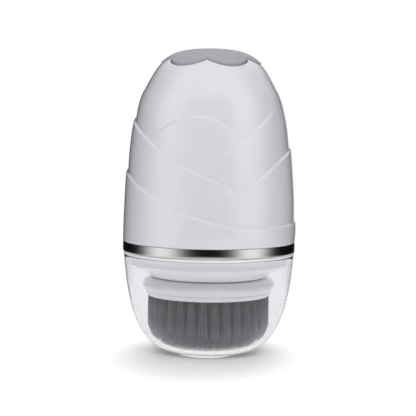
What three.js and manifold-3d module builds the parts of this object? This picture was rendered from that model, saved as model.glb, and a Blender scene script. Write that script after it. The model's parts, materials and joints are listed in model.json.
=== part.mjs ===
// Facial cleansing brush: a rechargeable handle with a rotating bristle head under a clear cap.
// Millimetres, +Z up. The brush stands on the foot of its clear cap, bristles down.
// The origin is the centre of that foot, -Y is the front and +Y the side with the charging port.
import * as THREE from "three";
import { mergeVertices } from "three/addons/utils/BufferGeometryUtils.js";
import Module from "manifold-3d";

const wasm = await Module();
wasm.setup();

// ---------- Driving dimensions ----------
const BODY_RADIUS = 30.4; // widest radius of the handle, at the metal trim ring
const TOTAL_HEIGHT = 107; // from the cap's foot to the top of the button
const SEAM_Z = 39.5; // lower edge of the housing, resting on the trim ring
const RING_HEIGHT = 3.5;
const LIP_HEIGHT = 0.9; // white lip of the lower body that shows under the trim ring
const COVER_TOP_Z = 34.8; // rim of the clear cap
const COVER_WALL = 1.5;
const FOOT_RADIUS = 9.8; // flat foot of the clear cap
const HOUSING_WALL = 2.2;
const GAP = 0.3; // assembly clearance between separate pieces
const RUN = 0.15; // radial clearance of a turning or sliding piece
const ROUND = 32; // facets around the large round pieces
const SMALL_ROUND = 16; // facets around small round pieces

// Neck and brush head
const NECK_Z = 27.1; // underside of the lower body
const SPIGOT_RADIUS = 27.8; // the cap slides over this
const HEAD_TOP_Z = 26.8;
const TUFT_PLATE_Z = 20.4; // underside of the bristle plate
const TUFT_PLATE_THICKNESS = 1.6;
const BRISTLE_RADIUS = 21.4;
const BRISTLE_TIP_Z = 2.3;
const OUTER_TIP_Z = 7.2; // the outer ring of bristles is shorter

// Gear train: two equal stages, so the motor, idler and output axes form an isosceles triangle
const GEAR_MODULE = 0.4;
const PINION_TEETH = 12;
const WHEEL_TEETH = 54;
const CENTRE_DISTANCE = (GEAR_MODULE * (PINION_TEETH + WHEEL_TEETH)) / 2;
const MOTOR_X = 11;
const IDLER_X = MOTOR_X / 2;
const IDLER_Y = -Math.sqrt(CENTRE_DISTANCE ** 2 - IDLER_X ** 2);
const BACKLASH = 0.1;
const CUP_FLOOR_Z = 33.0; // floor of the gear chamber
const OUTPUT_GEAR_Z = 34.0;
const IDLER_WHEEL_Z = 38.0;
const GEAR_FACE = 2.8;
const PLATE_Z = 41.8; // underside of the plate that closes the gear chamber
const PLATE_THICKNESS = 2.0;

// Motor, battery, boards
const MOTOR_RADIUS = 10;
const MOTOR_Z = PLATE_Z + PLATE_THICKNESS + GAP;
const MOTOR_LENGTH = 25;
const BATTERY_X = -10.5;
const BATTERY_RADIUS = 8;
const BATTERY_Z = 47.0;
const BATTERY_LENGTH = 34;
const BOARD_Y = 19.0;
const BOARD_THICKNESS = 1.6;
const PORT_Z = 52.0;
const SHELF_Z = 86.4;

// Power button
const BUTTON_PETALS = 6;
const BUTTON_NOTCH_RADIUS = 14.9;
const BUTTON_PETAL_RADIUS = 17.5;
const BUTTON_SKIN = 1.3;
const BUTTON_POCKET_DEPTH = 2.5;
const STEM_RADIUS = 3.0;
const STEM_END_Z = 94.2;

// ---------- Materials ----------
const plastic = (color, roughness = 0.35) =>
  new THREE.MeshStandardMaterial({ color, roughness, metalness: 0 });
const metal = (color, roughness = 0.3) =>
  new THREE.MeshStandardMaterial({ color, roughness, metalness: 1 });
const LILAC_WHITE = plastic(0xdad9e0, 0.18);
const SATIN_GREY = plastic(0xaaaab2, 0.4);
const CHROME = metal(0xc8c8ca, 0.08);
const CLEAR = new THREE.MeshStandardMaterial({
  color: 0xe6e6ec,
  roughness: 0.05,
  metalness: 0,
  transparent: true,
  opacity: 0.3,
});
const BRISTLE_GREY = plastic(0x66666c, 0.7);
const ACETAL = plastic(0xe9e6dc, 0.45);
const FRAME_GREY = plastic(0x55585c, 0.6);
const SILICONE = plastic(0xc9c8cf, 0.7);
const RUBBER = plastic(0x1d1d1f, 0.8);
const STEEL = metal(0xb4b6b8, 0.3);
const BRASS = metal(0xc9a75a, 0.3);
const NICKEL = metal(0xcfcabf, 0.35);
const BOARD_GREEN = plastic(0x1f6b3f, 0.5);
const CHIP_BLACK = plastic(0x18181a, 0.5);
const CELL_BLUE = plastic(0x2f5f9e, 0.4);
const WIRE_RED = plastic(0xb3261e, 0.5);
const WIRE_BLACK = plastic(0x161616, 0.5);

// ---------- Shape helpers ----------
const point = (r, z) => new THREE.Vector2(r, z);

function bezier(p0, p1, p2, p3, steps) {
  return new THREE.CubicBezierCurve(p0, p1, p2, p3).getPoints(steps);
}

// Turns a closed (radius, z) outline about the Z axis. A ring's outline is closed here.
function turned(outline, facets = ROUND) {
  const area = THREE.ShapeUtils.area(outline);
  const ordered = area < 0 ? [...outline].reverse() : [...outline];
  const onAxis = outline.some((p) => p.x === 0);
  if (onAxis) {
    while (!(ordered[0].x === 0 && ordered.at(-1).x === 0)) ordered.push(ordered.shift());
  } else {
    ordered.push(ordered[0].clone());
  }
  return new THREE.LatheGeometry(ordered, facets).rotateX(Math.PI / 2);
}

function tube(inner, outer, low, high, facets = SMALL_ROUND) {
  return turned([point(inner, low), point(outer, low), point(outer, high), point(inner, high)], facets);
}

function rod(radius, low, high, facets = SMALL_ROUND) {
  return new THREE.CylinderGeometry(radius, radius, high - low, facets)
    .rotateX(Math.PI / 2)
    .translate(0, 0, (low + high) / 2);
}

function block(x0, x1, y0, y1, z0, z1) {
  return new THREE.BoxGeometry(x1 - x0, y1 - y0, z1 - z0).translate(
    (x0 + x1) / 2,
    (y0 + y1) / 2,
    (z0 + z1) / 2,
  );
}

// Extrudes a flat outline in the XY plane from low to high.
function slab(outline, low, high, holes = []) {
  const shape = new THREE.Shape(outline);
  for (const hole of holes) shape.holes.push(new THREE.Path(hole));
  return new THREE.ExtrudeGeometry(shape, { depth: high - low, bevelEnabled: false }).translate(0, 0, low);
}

function circle(radius, facets, x = 0, y = 0) {
  return Array.from({ length: facets }, (_, i) => {
    const a = (2 * Math.PI * i) / facets;
    return point(x + radius * Math.cos(a), y + radius * Math.sin(a));
  });
}

function solid(geometry) {
  const bare = geometry.clone();
  for (const name of Object.keys(bare.attributes)) {
    if (name !== "position") bare.deleteAttribute(name);
  }
  const merged = mergeVertices(bare, 1e-4);
  return new wasm.Manifold(
    new wasm.Mesh({
      numProp: 3,
      vertProperties: merged.attributes.position.array,
      triVerts: new Uint32Array(merged.index.array),
    }),
  );
}

function geometryOf(made) {
  const mesh = made.getMesh();
  return new THREE.BufferGeometry()
    .setAttribute("position", new THREE.BufferAttribute(new Float32Array(mesh.vertProperties), 3))
    .setIndex(new THREE.BufferAttribute(new Uint32Array(mesh.triVerts), 1));
}

function join(first, ...rest) {
  return geometryOf(rest.reduce((made, g) => made.add(solid(g)), solid(first)));
}

function cut(first, ...rest) {
  return geometryOf(rest.reduce((made, g) => made.subtract(solid(g)), solid(first)));
}

function common(a, b) {
  return geometryOf(solid(a).intersect(solid(b)));
}

const part = new THREE.Group();
function add(name, geometry, material, x = 0, y = 0, turn = 0) {
  const mesh = new THREE.Mesh(geometry, material);
  mesh.name = name;
  mesh.position.set(x, y, 0);
  mesh.rotation.z = turn;
  part.add(mesh);
  return mesh;
}

// ---------- Outer curves of the handle ----------
const SHOULDER = point(23.5, 92); // where the long side runs into the dome
const SIDE_RISE = 19.2;
const SIDE_LEAN = point(27.3, 85.6);
const DOME_START = point(18.15, 101.6);

function sideCurve(inset, steps) {
  return bezier(
    point(BODY_RADIUS - inset, SEAM_Z),
    point(BODY_RADIUS - inset, SEAM_Z + SIDE_RISE),
    point(SIDE_LEAN.x - inset, SIDE_LEAN.y - inset * 0.4),
    point(SHOULDER.x - inset, SHOULDER.y - inset * 0.6),
    steps,
  );
}

function domeCurve(topZ, fullness, steps) {
  return bezier(SHOULDER, DOME_START, point(fullness, topZ), point(0, topZ), steps);
}

const HOUSING_TOP_Z = TOTAL_HEIGHT - 0.55; // the button stands slightly proud
const HOUSING_FULLNESS = 17.1;
const BUTTON_FULLNESS = 17.4;
const buttonDome = domeCurve(TOTAL_HEIGHT, BUTTON_FULLNESS, 60);

// Height of the button's dome at a radius.
function domeZ(radius) {
  const i = buttonDome.findIndex((p) => p.x <= radius);
  if (i <= 0) return buttonDome.at(-1).y;
  const a = buttonDome[i - 1];
  const b = buttonDome[i];
  return THREE.MathUtils.mapLinear(radius, a.x, b.x, a.y, b.y);
}

// ---------- Power button ----------
const PETAL_STEPS = 6; // facets per petal
const PETAL_SHARPNESS = 0.7; // below 1 rounds the petals and sharpens the notches

function petalRadius(angle, grow = 0) {
  const wave = Math.abs(Math.sin((BUTTON_PETALS / 2) * (angle + Math.PI / 2)));
  return (
    BUTTON_NOTCH_RADIUS + (BUTTON_PETAL_RADIUS - BUTTON_NOTCH_RADIUS) * wave ** PETAL_SHARPNESS + grow
  );
}

// A petal-edged slab between two heights, each a function of the radius.
function petalSlab(grow, lowZ, highZ, rings = 4) {
  const facets = BUTTON_PETALS * PETAL_STEPS;
  const position = [];
  const index = [];
  const layer = (zOf) => {
    const start = position.length / 3;
    position.push(0, 0, zOf(0));
    for (let ring = 1; ring <= rings; ring++) {
      for (let i = 0; i < facets; i++) {
        const angle = (2 * Math.PI * i) / facets;
        const r = (petalRadius(angle, grow) * ring) / rings;
        position.push(r * Math.cos(angle), r * Math.sin(angle), zOf(r));
      }
    }
    return start;
  };
  const top = layer(highZ);
  const bottom = layer(lowZ);
  const at = (start, ring, i) => (ring === 0 ? start : start + 1 + (ring - 1) * facets + (i % facets));
  const face = (start, ring, i, flip) => {
    const a = at(start, ring - 1, i);
    const b = at(start, ring, i);
    const c = at(start, ring, i + 1);
    const d = at(start, ring - 1, i + 1);
    index.push(...(flip ? [a, c, b] : [a, b, c]));
    if (ring > 1) index.push(...(flip ? [a, d, c] : [a, c, d]));
  };
  for (let i = 0; i < facets; i++) {
    for (let ring = 1; ring <= rings; ring++) {
      face(top, ring, i, false);
      face(bottom, ring, i, true);
    }
    const [a, b] = [at(top, rings, i), at(top, rings, i + 1)];
    const [c, d] = [at(bottom, rings, i), at(bottom, rings, i + 1)];
    index.push(a, c, d, a, d, b);
  }
  return new THREE.BufferGeometry()
    .setAttribute("position", new THREE.Float32BufferAttribute(position, 3))
    .setIndex(index);
}

const CLIP_Z = 96.2;
const CLIP_THICKNESS = 0.6;
const CLIP_GROOVE_RADIUS = 2.4;

function powerButton() {
  const cap = petalSlab(0, (r) => domeZ(r) - BUTTON_SKIN, domeZ);
  const stem = rod(STEM_RADIUS, STEM_END_Z, TOTAL_HEIGHT - BUTTON_SKIN + 0.2);
  const groove = tube(CLIP_GROOVE_RADIUS, STEM_RADIUS + 1, CLIP_Z - 0.1, CLIP_Z + CLIP_THICKNESS + 0.1);
  return cut(join(cap, stem), groove);
}
add("power_button", powerButton(), SATIN_GREY);
add("button_clip", tube(CLIP_GROOVE_RADIUS + RUN, 4.4, CLIP_Z, CLIP_Z + CLIP_THICKNESS), STEEL);

// ---------- Housing ----------
const BOSS_LOW_Z = 97.4; // guide boss of the button stem
const BOSS_RADIUS = 6;
const SEAL_SEAT_Z = 99.6;
const SEAL_SEAT_RADIUS = 4.9;
const SNAP_Z = 45;
const PORT_POCKET = { halfWidth: 6.6, halfHeight: 3.4, depth: 1.3 };
const PORT_SLOT = { halfWidth: 4.9, halfHeight: 2.1, depth: 6 };
const INNER_TOP_Z = 102.2; // top of the hollow inside the housing

// A round-ended bar along Y, centred on the charging port.
function portBar(halfWidth, halfHeight, y0, y1) {
  const shape = new THREE.Shape();
  const straight = halfWidth - halfHeight;
  shape.absarc(straight, 0, halfHeight, -Math.PI / 2, Math.PI / 2);
  shape.absarc(-straight, 0, halfHeight, Math.PI / 2, (3 * Math.PI) / 2);
  return new THREE.ExtrudeGeometry(shape, { depth: y1 - y0, bevelEnabled: false, curveSegments: 5 })
    .rotateX(Math.PI / 2)
    .translate(0, y1, PORT_Z);
}

function upperHousing() {
  const outer = [...sideCurve(0, 7), ...domeCurve(HOUSING_TOP_Z, HOUSING_FULLNESS, 6).slice(1)];
  const innerSide = sideCurve(HOUSING_WALL, 6);
  const snapGroove = [
    point(BODY_RADIUS - HOUSING_WALL, SNAP_Z - 1),
    point(BODY_RADIUS - HOUSING_WALL + 0.4, SNAP_Z - 0.3),
    point(BODY_RADIUS - HOUSING_WALL + 0.4, SNAP_Z + 0.3),
    point(BODY_RADIUS - HOUSING_WALL, SNAP_Z + 1),
  ];
  const innerTop = [point(18.3, 97), point(13.5, INNER_TOP_Z), point(0, INNER_TOP_Z)];
  const innerDome = bezier(innerSide.at(-1), ...innerTop, 4);
  const inner = [innerSide[0], ...snapGroove, ...innerSide.slice(2), ...innerDome.slice(1)];
  const shell = turned([...outer, ...inner.reverse()]);
  const pocket = petalSlab(GAP, (r) => domeZ(r) - BUTTON_POCKET_DEPTH, () => TOTAL_HEIGHT + 3, 2);
  const surfaceY = BODY_RADIUS - 0.2;
  const { halfWidth, halfHeight, depth } = PORT_POCKET;
  return cut(
    join(shell, rod(BOSS_RADIUS, BOSS_LOW_Z, INNER_TOP_Z + 0.8)),
    pocket,
    rod(STEM_RADIUS + RUN, BOSS_LOW_Z - 1, TOTAL_HEIGHT),
    rod(SEAL_SEAT_RADIUS, BOSS_LOW_Z - 1, SEAL_SEAT_Z),
    portBar(halfWidth, halfHeight, surfaceY - depth, BODY_RADIUS + 2),
    portBar(PORT_SLOT.halfWidth, PORT_SLOT.halfHeight, BODY_RADIUS - PORT_SLOT.depth, BODY_RADIUS + 2),
  );
}
add("upper_housing", upperHousing(), LILAC_WHITE);
const stemSeal = tube(STEM_RADIUS + RUN, SEAL_SEAT_RADIUS - GAP, BOSS_LOW_Z + GAP, SEAL_SEAT_Z - GAP);
add("stem_seal", stemSeal, RUBBER);
const sealRetainer = tube(STEM_RADIUS + RUN, BOSS_RADIUS - 0.2, BOSS_LOW_Z - 0.4, BOSS_LOW_Z - 0.1);
add("seal_retainer", sealRetainer, STEEL);

// ---------- Charging port and its plug ----------
const PLUG_TONGUE = { halfWidth: 3.9, halfHeight: 1.2 };
const SOCKET = { halfWidth: 4.45, halfHeight: 1.6, wall: 0.35, mouthY: 27.4 };

function portPlug() {
  const side = sideCurve(0.1, 7).slice(0, 4);
  const flapSurface = turned([point(0, side[0].y), ...side, point(0, side.at(-1).y)], 2 * ROUND);
  const pocketY = BODY_RADIUS - PORT_POCKET.depth;
  const flap = common(
    portBar(
      PORT_POCKET.halfWidth - GAP,
      PORT_POCKET.halfHeight - GAP,
      pocketY + 0.1,
      BODY_RADIUS + 1,
    ),
    flapSurface,
  );
  const tongue = portBar(PLUG_TONGUE.halfWidth, PLUG_TONGUE.halfHeight, pocketY - 0.9, pocketY + 0.4);
  const nailNotch = new THREE.CylinderGeometry(1.3, 1.3, 4, 12)
    .translate(0, BODY_RADIUS, PORT_Z + PORT_POCKET.halfHeight);
  return cut(join(flap, tongue), nailNotch);
}
add("port_plug", portPlug(), SILICONE);

function chargingSocket() {
  const y0 = BOARD_Y + BOARD_THICKNESS + 0.1;
  const { halfWidth, halfHeight, wall, mouthY } = SOCKET;
  const body = portBar(halfWidth, halfHeight, y0, mouthY);
  const mouth = portBar(halfWidth - wall, halfHeight - wall, y0 + 2, mouthY + 0.6);
  const contactTongue = block(-3.3, 3.3, y0 + 1, mouthY - 0.5, PORT_Z - 0.35, PORT_Z + 0.35);
  return join(cut(body, mouth), contactTongue);
}
add("charging_socket", chargingSocket(), NICKEL);

// ---------- Trim ring and lower body ----------
const RING_LOW_Z = SEAM_Z - RING_HEIGHT;
const LIP_LOW_Z = RING_LOW_Z - LIP_HEIGHT;
const RING_SEAT_RADIUS = 29.0;

function trimRing() {
  const low = RING_LOW_Z + 0.1;
  const high = SEAM_Z - 0.1;
  const r = BODY_RADIUS;
  return turned(
    [
      point(RING_SEAT_RADIUS + 0.2, low),
      point(r - 0.15, low),
      point(r, low + 0.25),
      point(r, high - 0.25),
      point(r - 0.15, high),
      point(RING_SEAT_RADIUS + 0.2, high),
    ],
    ROUND,
  );
}
add("trim_ring", trimRing(), CHROME);

const CUP_RADIUS = 25.6; // inside of the gear chamber
const PLUG_TOP_Z = 47;
const O_RING = { z: 42.5, radius: 27.35, section: 0.6 };
const SCREW_POST_ANGLES = [30, 150, 215].map(THREE.MathUtils.degToRad);
const SCREW_POST_RADIUS = 22;
const BEARING = { outer: 5.0, low: 29.8, high: 32.8 };
const SEAL = { outer: 6.6, low: 27.5, high: 29.4 };
const onPost = (angle) => [SCREW_POST_RADIUS * Math.cos(angle), SCREW_POST_RADIUS * Math.sin(angle)];

function lowerBody() {
  const cup = turned([
    point(SEAL.outer + RUN, NECK_Z),
    point(20.4, NECK_Z),
    point(21.8, 28.5),
    point(SPIGOT_RADIUS, 31.5),
    point(SPIGOT_RADIUS, LIP_LOW_Z),
    point(BODY_RADIUS - 0.2, LIP_LOW_Z),
    point(BODY_RADIUS - 0.2, RING_LOW_Z),
    point(RING_SEAT_RADIUS, RING_LOW_Z),
    point(RING_SEAT_RADIUS, SEAM_Z - 0.1),
    point(SPIGOT_RADIUS, SEAM_Z - 0.1),
    point(SPIGOT_RADIUS, O_RING.z - O_RING.section - 0.3),
    point(O_RING.radius - O_RING.section - RUN, O_RING.z - O_RING.section - 0.1),
    point(O_RING.radius - O_RING.section - RUN, O_RING.z + O_RING.section + 0.1),
    point(SPIGOT_RADIUS, O_RING.z + O_RING.section + 0.3),
    point(SPIGOT_RADIUS, SNAP_Z - 0.6),
    point(SPIGOT_RADIUS + 0.25, SNAP_Z),
    point(SPIGOT_RADIUS, SNAP_Z + 0.6),
    point(SPIGOT_RADIUS - 0.5, PLUG_TOP_Z),
    point(CUP_RADIUS, PLUG_TOP_Z),
    point(CUP_RADIUS, CUP_FLOOR_Z),
    point(BEARING.outer + RUN, CUP_FLOOR_Z),
    point(BEARING.outer + RUN, SEAL.high + 0.2),
    point(SEAL.outer + RUN, SEAL.high + 0.2),
  ]);
  const posts = SCREW_POST_ANGLES.map((a) => {
    const [x, y] = onPost(a);
    return rod(3.4, CUP_FLOOR_Z - 0.5, PLATE_Z - 0.1, 12).translate(x, y, 0);
  });
  const holes = SCREW_POST_ANGLES.map((a) => {
    const [x, y] = onPost(a);
    return rod(1.1, PLATE_Z - 6, PLATE_Z + 1, 10).translate(x, y, 0);
  });
  const axleHole = rod(1.0 + RUN, 31, CUP_FLOOR_Z + 1, 12).translate(IDLER_X, IDLER_Y, 0);
  return cut(join(cup, ...posts), ...holes, axleHole);
}
add("lower_body", lowerBody(), LILAC_WHITE);

function torus(radius, section, z) {
  return new THREE.TorusGeometry(radius, section, 5, ROUND).translate(0, 0, z);
}
add("housing_o_ring", torus(O_RING.radius, O_RING.section, O_RING.z), RUBBER);

// ---------- Gear train ----------
const PRESSURE_ANGLE = THREE.MathUtils.degToRad(20);
const involute = (a) => Math.tan(a) - a;

// Half the angle that a tooth fills at radius r.
function toothHalfAngle(teeth, r) {
  const pitchRadius = (GEAR_MODULE * teeth) / 2;
  const baseRadius = pitchRadius * Math.cos(PRESSURE_ANGLE);
  const here = Math.acos(Math.min(1, baseRadius / r));
  const atPitch = (Math.PI / 2 / teeth) * (1 - BACKLASH / GEAR_MODULE);
  return atPitch + involute(PRESSURE_ANGLE) - involute(here);
}

// Gear outline with one tooth centred on the +X axis.
function gearOutline(teeth) {
  const pitchRadius = (GEAR_MODULE * teeth) / 2;
  const root = pitchRadius - 1.25 * GEAR_MODULE;
  const tip = pitchRadius + (teeth > 20 ? 0.75 : 0.95) * GEAR_MODULE;
  const flank = teeth > 20 ? [root, tip] : [root, pitchRadius, tip];
  const outline = [];
  for (let i = 0; i < teeth; i++) {
    const centre = (2 * Math.PI * i) / teeth;
    const rising = flank.map((r) => [r, centre - toothHalfAngle(teeth, r)]);
    const falling = [...flank].reverse().map((r) => [r, centre + toothHalfAngle(teeth, r)]);
    for (const [r, a] of [...rising, ...falling]) outline.push(point(r * Math.cos(a), r * Math.sin(a)));
  }
  return outline;
}

const rotated = (outline, angle) =>
  outline.map((p) => p.clone().rotateAround(new THREE.Vector2(), angle));

const SHAFT_TOP_RADIUS = 1.5;
const SHAFT_RADIUS = 2.5;
const AXLE_RADIUS = 1.0;
const AXLE_LOW_Z = 31.2;
const OUTPUT_TO_IDLER = Math.atan2(IDLER_Y, IDLER_X);
const MOTOR_TO_IDLER = Math.atan2(IDLER_Y, IDLER_X - MOTOR_X);
const halfTooth = (teeth) => Math.PI / teeth;

function outputGear() {
  const outline = rotated(gearOutline(WHEEL_TEETH), OUTPUT_TO_IDLER);
  return slab(outline, OUTPUT_GEAR_Z, OUTPUT_GEAR_Z + GEAR_FACE, [circle(SHAFT_TOP_RADIUS + RUN, 16)]);
}

// The idler carries a wheel driven by the motor pinion and a pinion that drives the output gear.
function idlerGear() {
  const wheel = rotated(gearOutline(WHEEL_TEETH), MOTOR_TO_IDLER + Math.PI + halfTooth(WHEEL_TEETH));
  const pinion = rotated(gearOutline(PINION_TEETH), OUTPUT_TO_IDLER + Math.PI + halfTooth(PINION_TEETH));
  const bore = rod(AXLE_RADIUS + RUN, CUP_FLOOR_Z, PLATE_Z, 12);
  return cut(
    join(
      slab(wheel, IDLER_WHEEL_Z, IDLER_WHEEL_Z + GEAR_FACE),
      slab(pinion, CUP_FLOOR_Z + 0.6, IDLER_WHEEL_Z + 0.1),
      rod(2.2, CUP_FLOOR_Z + GAP, CUP_FLOOR_Z + 0.7, 16),
      rod(2.6, IDLER_WHEEL_Z + 1, PLATE_Z - GAP, 16),
    ),
    bore,
  );
}

function motorPinion() {
  const outline = rotated(gearOutline(PINION_TEETH), MOTOR_TO_IDLER);
  return slab(outline, IDLER_WHEEL_Z - 0.2, IDLER_WHEEL_Z + GEAR_FACE + 0.3, [circle(1.0 + 0.1, 12)]);
}

add("output_gear", outputGear(), ACETAL);
add("idler_gear", idlerGear(), ACETAL, IDLER_X, IDLER_Y);
add("motor_pinion", motorPinion(), BRASS, MOTOR_X);
add("idler_axle", rod(AXLE_RADIUS, AXLE_LOW_Z, PLATE_Z + 1.2, 12), STEEL, IDLER_X, IDLER_Y);

// ---------- Output shaft, bearings and seal ----------
const HUB = { low: 23.1, high: HEAD_TOP_Z, radius: 5.4 };
const HEX = 6;

function outputShaft() {
  const top = PLATE_Z + PLATE_THICKNESS - GAP;
  return join(rod(SHAFT_RADIUS, 23.9, 33.7), rod(SHAFT_TOP_RADIUS, 33.5, top));
}

function driveHub() {
  return cut(
    slab(circle(HUB.radius, HEX), HUB.low, HUB.high),
    rod(SHAFT_RADIUS + RUN, 23.7, HUB.high + 1),
  );
}

function shaftBearing() {
  const race = tube(SHAFT_RADIUS + RUN, BEARING.outer, BEARING.low, BEARING.high);
  return cut(race, tube(3.4, 4.3, BEARING.high - 0.4, BEARING.high + 1));
}

function shaftSeal() {
  return turned(
    [
      point(SHAFT_RADIUS + RUN, SEAL.low + 0.2),
      point(SHAFT_RADIUS + 0.6, SEAL.low),
      point(SEAL.outer, SEAL.low),
      point(SEAL.outer, SEAL.high),
      point(SHAFT_RADIUS + 1.6, SEAL.high),
      point(SHAFT_RADIUS + 1.4, SEAL.low + 0.9),
      point(SHAFT_RADIUS + RUN, SEAL.low + 0.6),
    ],
    SMALL_ROUND,
  );
}

add("output_shaft", outputShaft(), STEEL);
add("shaft_clip", tube(SHAFT_RADIUS + 0.1, 4.2, 33.1, 33.6), STEEL);
add("drive_hub", driveHub(), ACETAL);
add("shaft_bearing", shaftBearing(), STEEL);
add("shaft_seal", shaftSeal(), RUBBER);
const BUSH_RADIUS = 2.8;
const BUSH_TOP_Z = PLATE_Z + PLATE_THICKNESS - 0.1;
add("upper_bush", tube(SHAFT_TOP_RADIUS + RUN, BUSH_RADIUS, PLATE_Z - 0.2, BUSH_TOP_Z), BRASS);

// ---------- Gear chamber plate with its screws ----------
const MOTOR_SCREW_Y = 7;

function gearPlate() {
  const low = PLATE_Z;
  const high = PLATE_Z + PLATE_THICKNESS;
  const through = (radius, x, y) => rod(radius, low - 1, high + 1, 12).translate(x, y, 0);
  return cut(
    rod(CUP_RADIUS - GAP, low, high, ROUND),
    through(BUSH_RADIUS + RUN, 0, 0),
    through(3.0 + RUN, MOTOR_X, 0),
    through(AXLE_RADIUS + RUN, IDLER_X, IDLER_Y),
    through(1.2, MOTOR_X, MOTOR_SCREW_Y),
    through(1.2, MOTOR_X, -MOTOR_SCREW_Y),
    ...SCREW_POST_ANGLES.map((a) => through(1.3, ...onPost(a))),
  );
}
add("gear_plate", gearPlate(), FRAME_GREY);

// A pan-head screw with a cross recess. Its head's underside is at seatZ and it points down.
function screw(shankRadius, headRadius, headHeight, seatZ, length) {
  const body = turned(
    [
      point(0, seatZ - length),
      point(shankRadius * 0.6, seatZ - length),
      point(shankRadius, seatZ - length + shankRadius),
      point(shankRadius, seatZ),
      point(headRadius, seatZ),
      point(headRadius, seatZ + headHeight * 0.6),
      point(headRadius * 0.7, seatZ + headHeight),
      point(0, seatZ + headHeight),
    ],
    8,
  );
  const arm = headRadius * 0.55;
  const slot = headRadius * 0.14;
  const low = seatZ + headHeight * 0.5;
  const high = seatZ + headHeight + 1;
  return cut(body, block(-arm, arm, -slot, slot, low, high), block(-slot, slot, -arm, arm, low, high));
}
SCREW_POST_ANGLES.forEach((angle, i) => {
  const seat = PLATE_Z + PLATE_THICKNESS + 0.05;
  add(`plate_screw_${i + 1}`, screw(1.0, 2.0, 1.3, seat, 6.5), STEEL, ...onPost(angle));
});

// ---------- Motor ----------
const MOTOR_TOP_Z = MOTOR_Z + MOTOR_LENGTH;

function motorCan() {
  const can = turned([
    point(0, MOTOR_Z),
    point(MOTOR_RADIUS - 0.6, MOTOR_Z),
    point(MOTOR_RADIUS, MOTOR_Z + 0.6),
    point(MOTOR_RADIUS, MOTOR_TOP_Z - 2.2),
    point(0, MOTOR_TOP_Z - 2.2),
  ], 32);
  const boss = rod(3.0, PLATE_Z + 0.6, MOTOR_Z + 0.2);
  const shaftHole = rod(1.0 + RUN, PLATE_Z, MOTOR_TOP_Z - 4, 12);
  const screwHoles = [-MOTOR_SCREW_Y, MOTOR_SCREW_Y].map((y) =>
    rod(1.0, MOTOR_Z - 1, MOTOR_Z + 3, 10).translate(0, y, 0),
  );
  return cut(join(can, boss), shaftHole, ...screwHoles);
}

function motorEndCap() {
  const top = MOTOR_TOP_Z;
  const cap = join(rod(MOTOR_RADIUS - 0.3, top - 2.1, top, 32), rod(2.6, top - 0.2, top + 1.2));
  const terminals = [-6, 6].map((y) => block(-1, 1, y - 0.25, y + 0.25, top - 0.5, top + 2.4));
  return join(cap, ...terminals);
}

// The motor screws go up through the gear plate into the can.
function motorScrew() {
  const up = screw(0.85, 1.7, 0.7, 0, 3.6).rotateX(Math.PI);
  return up.translate(0, 0, PLATE_Z - 0.05);
}

add("motor_can", motorCan(), STEEL, MOTOR_X);
add("motor_end_cap", motorEndCap(), CHIP_BLACK, MOTOR_X);
add("motor_shaft", rod(1.0, IDLER_WHEEL_Z - 0.4, MOTOR_TOP_Z - 4.4, 12), STEEL, MOTOR_X);
add("motor_screw_1", motorScrew(), STEEL, MOTOR_X, MOTOR_SCREW_Y);
add("motor_screw_2", motorScrew(), STEEL, MOTOR_X, -MOTOR_SCREW_Y);

// ---------- Battery ----------
function batteryCell() {
  const top = BATTERY_Z + BATTERY_LENGTH;
  return turned([
    point(0, BATTERY_Z),
    point(BATTERY_RADIUS - 0.5, BATTERY_Z),
    point(BATTERY_RADIUS, BATTERY_Z + 0.5),
    point(BATTERY_RADIUS, top - 1.3),
    point(BATTERY_RADIUS - 0.6, top - 0.8),
    point(3, top - 0.8),
    point(2.8, top),
    point(0, top),
  ], 24);
}
add("battery_cell", batteryCell(), CELL_BLUE, BATTERY_X);

function batteryTab(z) {
  return block(0, 3, -5, 10, z, z + 0.25);
}
const TOP_TAB_Z = BATTERY_Z + BATTERY_LENGTH + 0.05;
const BOTTOM_TAB_Z = BATTERY_Z - 0.35;
add("battery_top_tab", batteryTab(TOP_TAB_Z), NICKEL, BATTERY_X);
add("battery_bottom_tab", batteryTab(BOTTOM_TAB_Z), NICKEL, BATTERY_X);

// ---------- Inner frame ----------
const FRAME_LOW_Z = PLATE_Z + PLATE_THICKNESS + 0.4;
const FRAME_TOP_Z = SHELF_Z + 1.6;
const CRADLE = { inner: BATTERY_RADIUS + 0.4, outer: BATTERY_RADIUS + 1.6, top: 78 };
const BOARD_SCREW = { x: 7, z: 80 };
const WIRE_WINDOW = { low: 66, high: 77 }; // opening behind the board's solder pads
const SWITCH_WIRE_HOLE = { x: 5, y: 13.5 };

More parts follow.
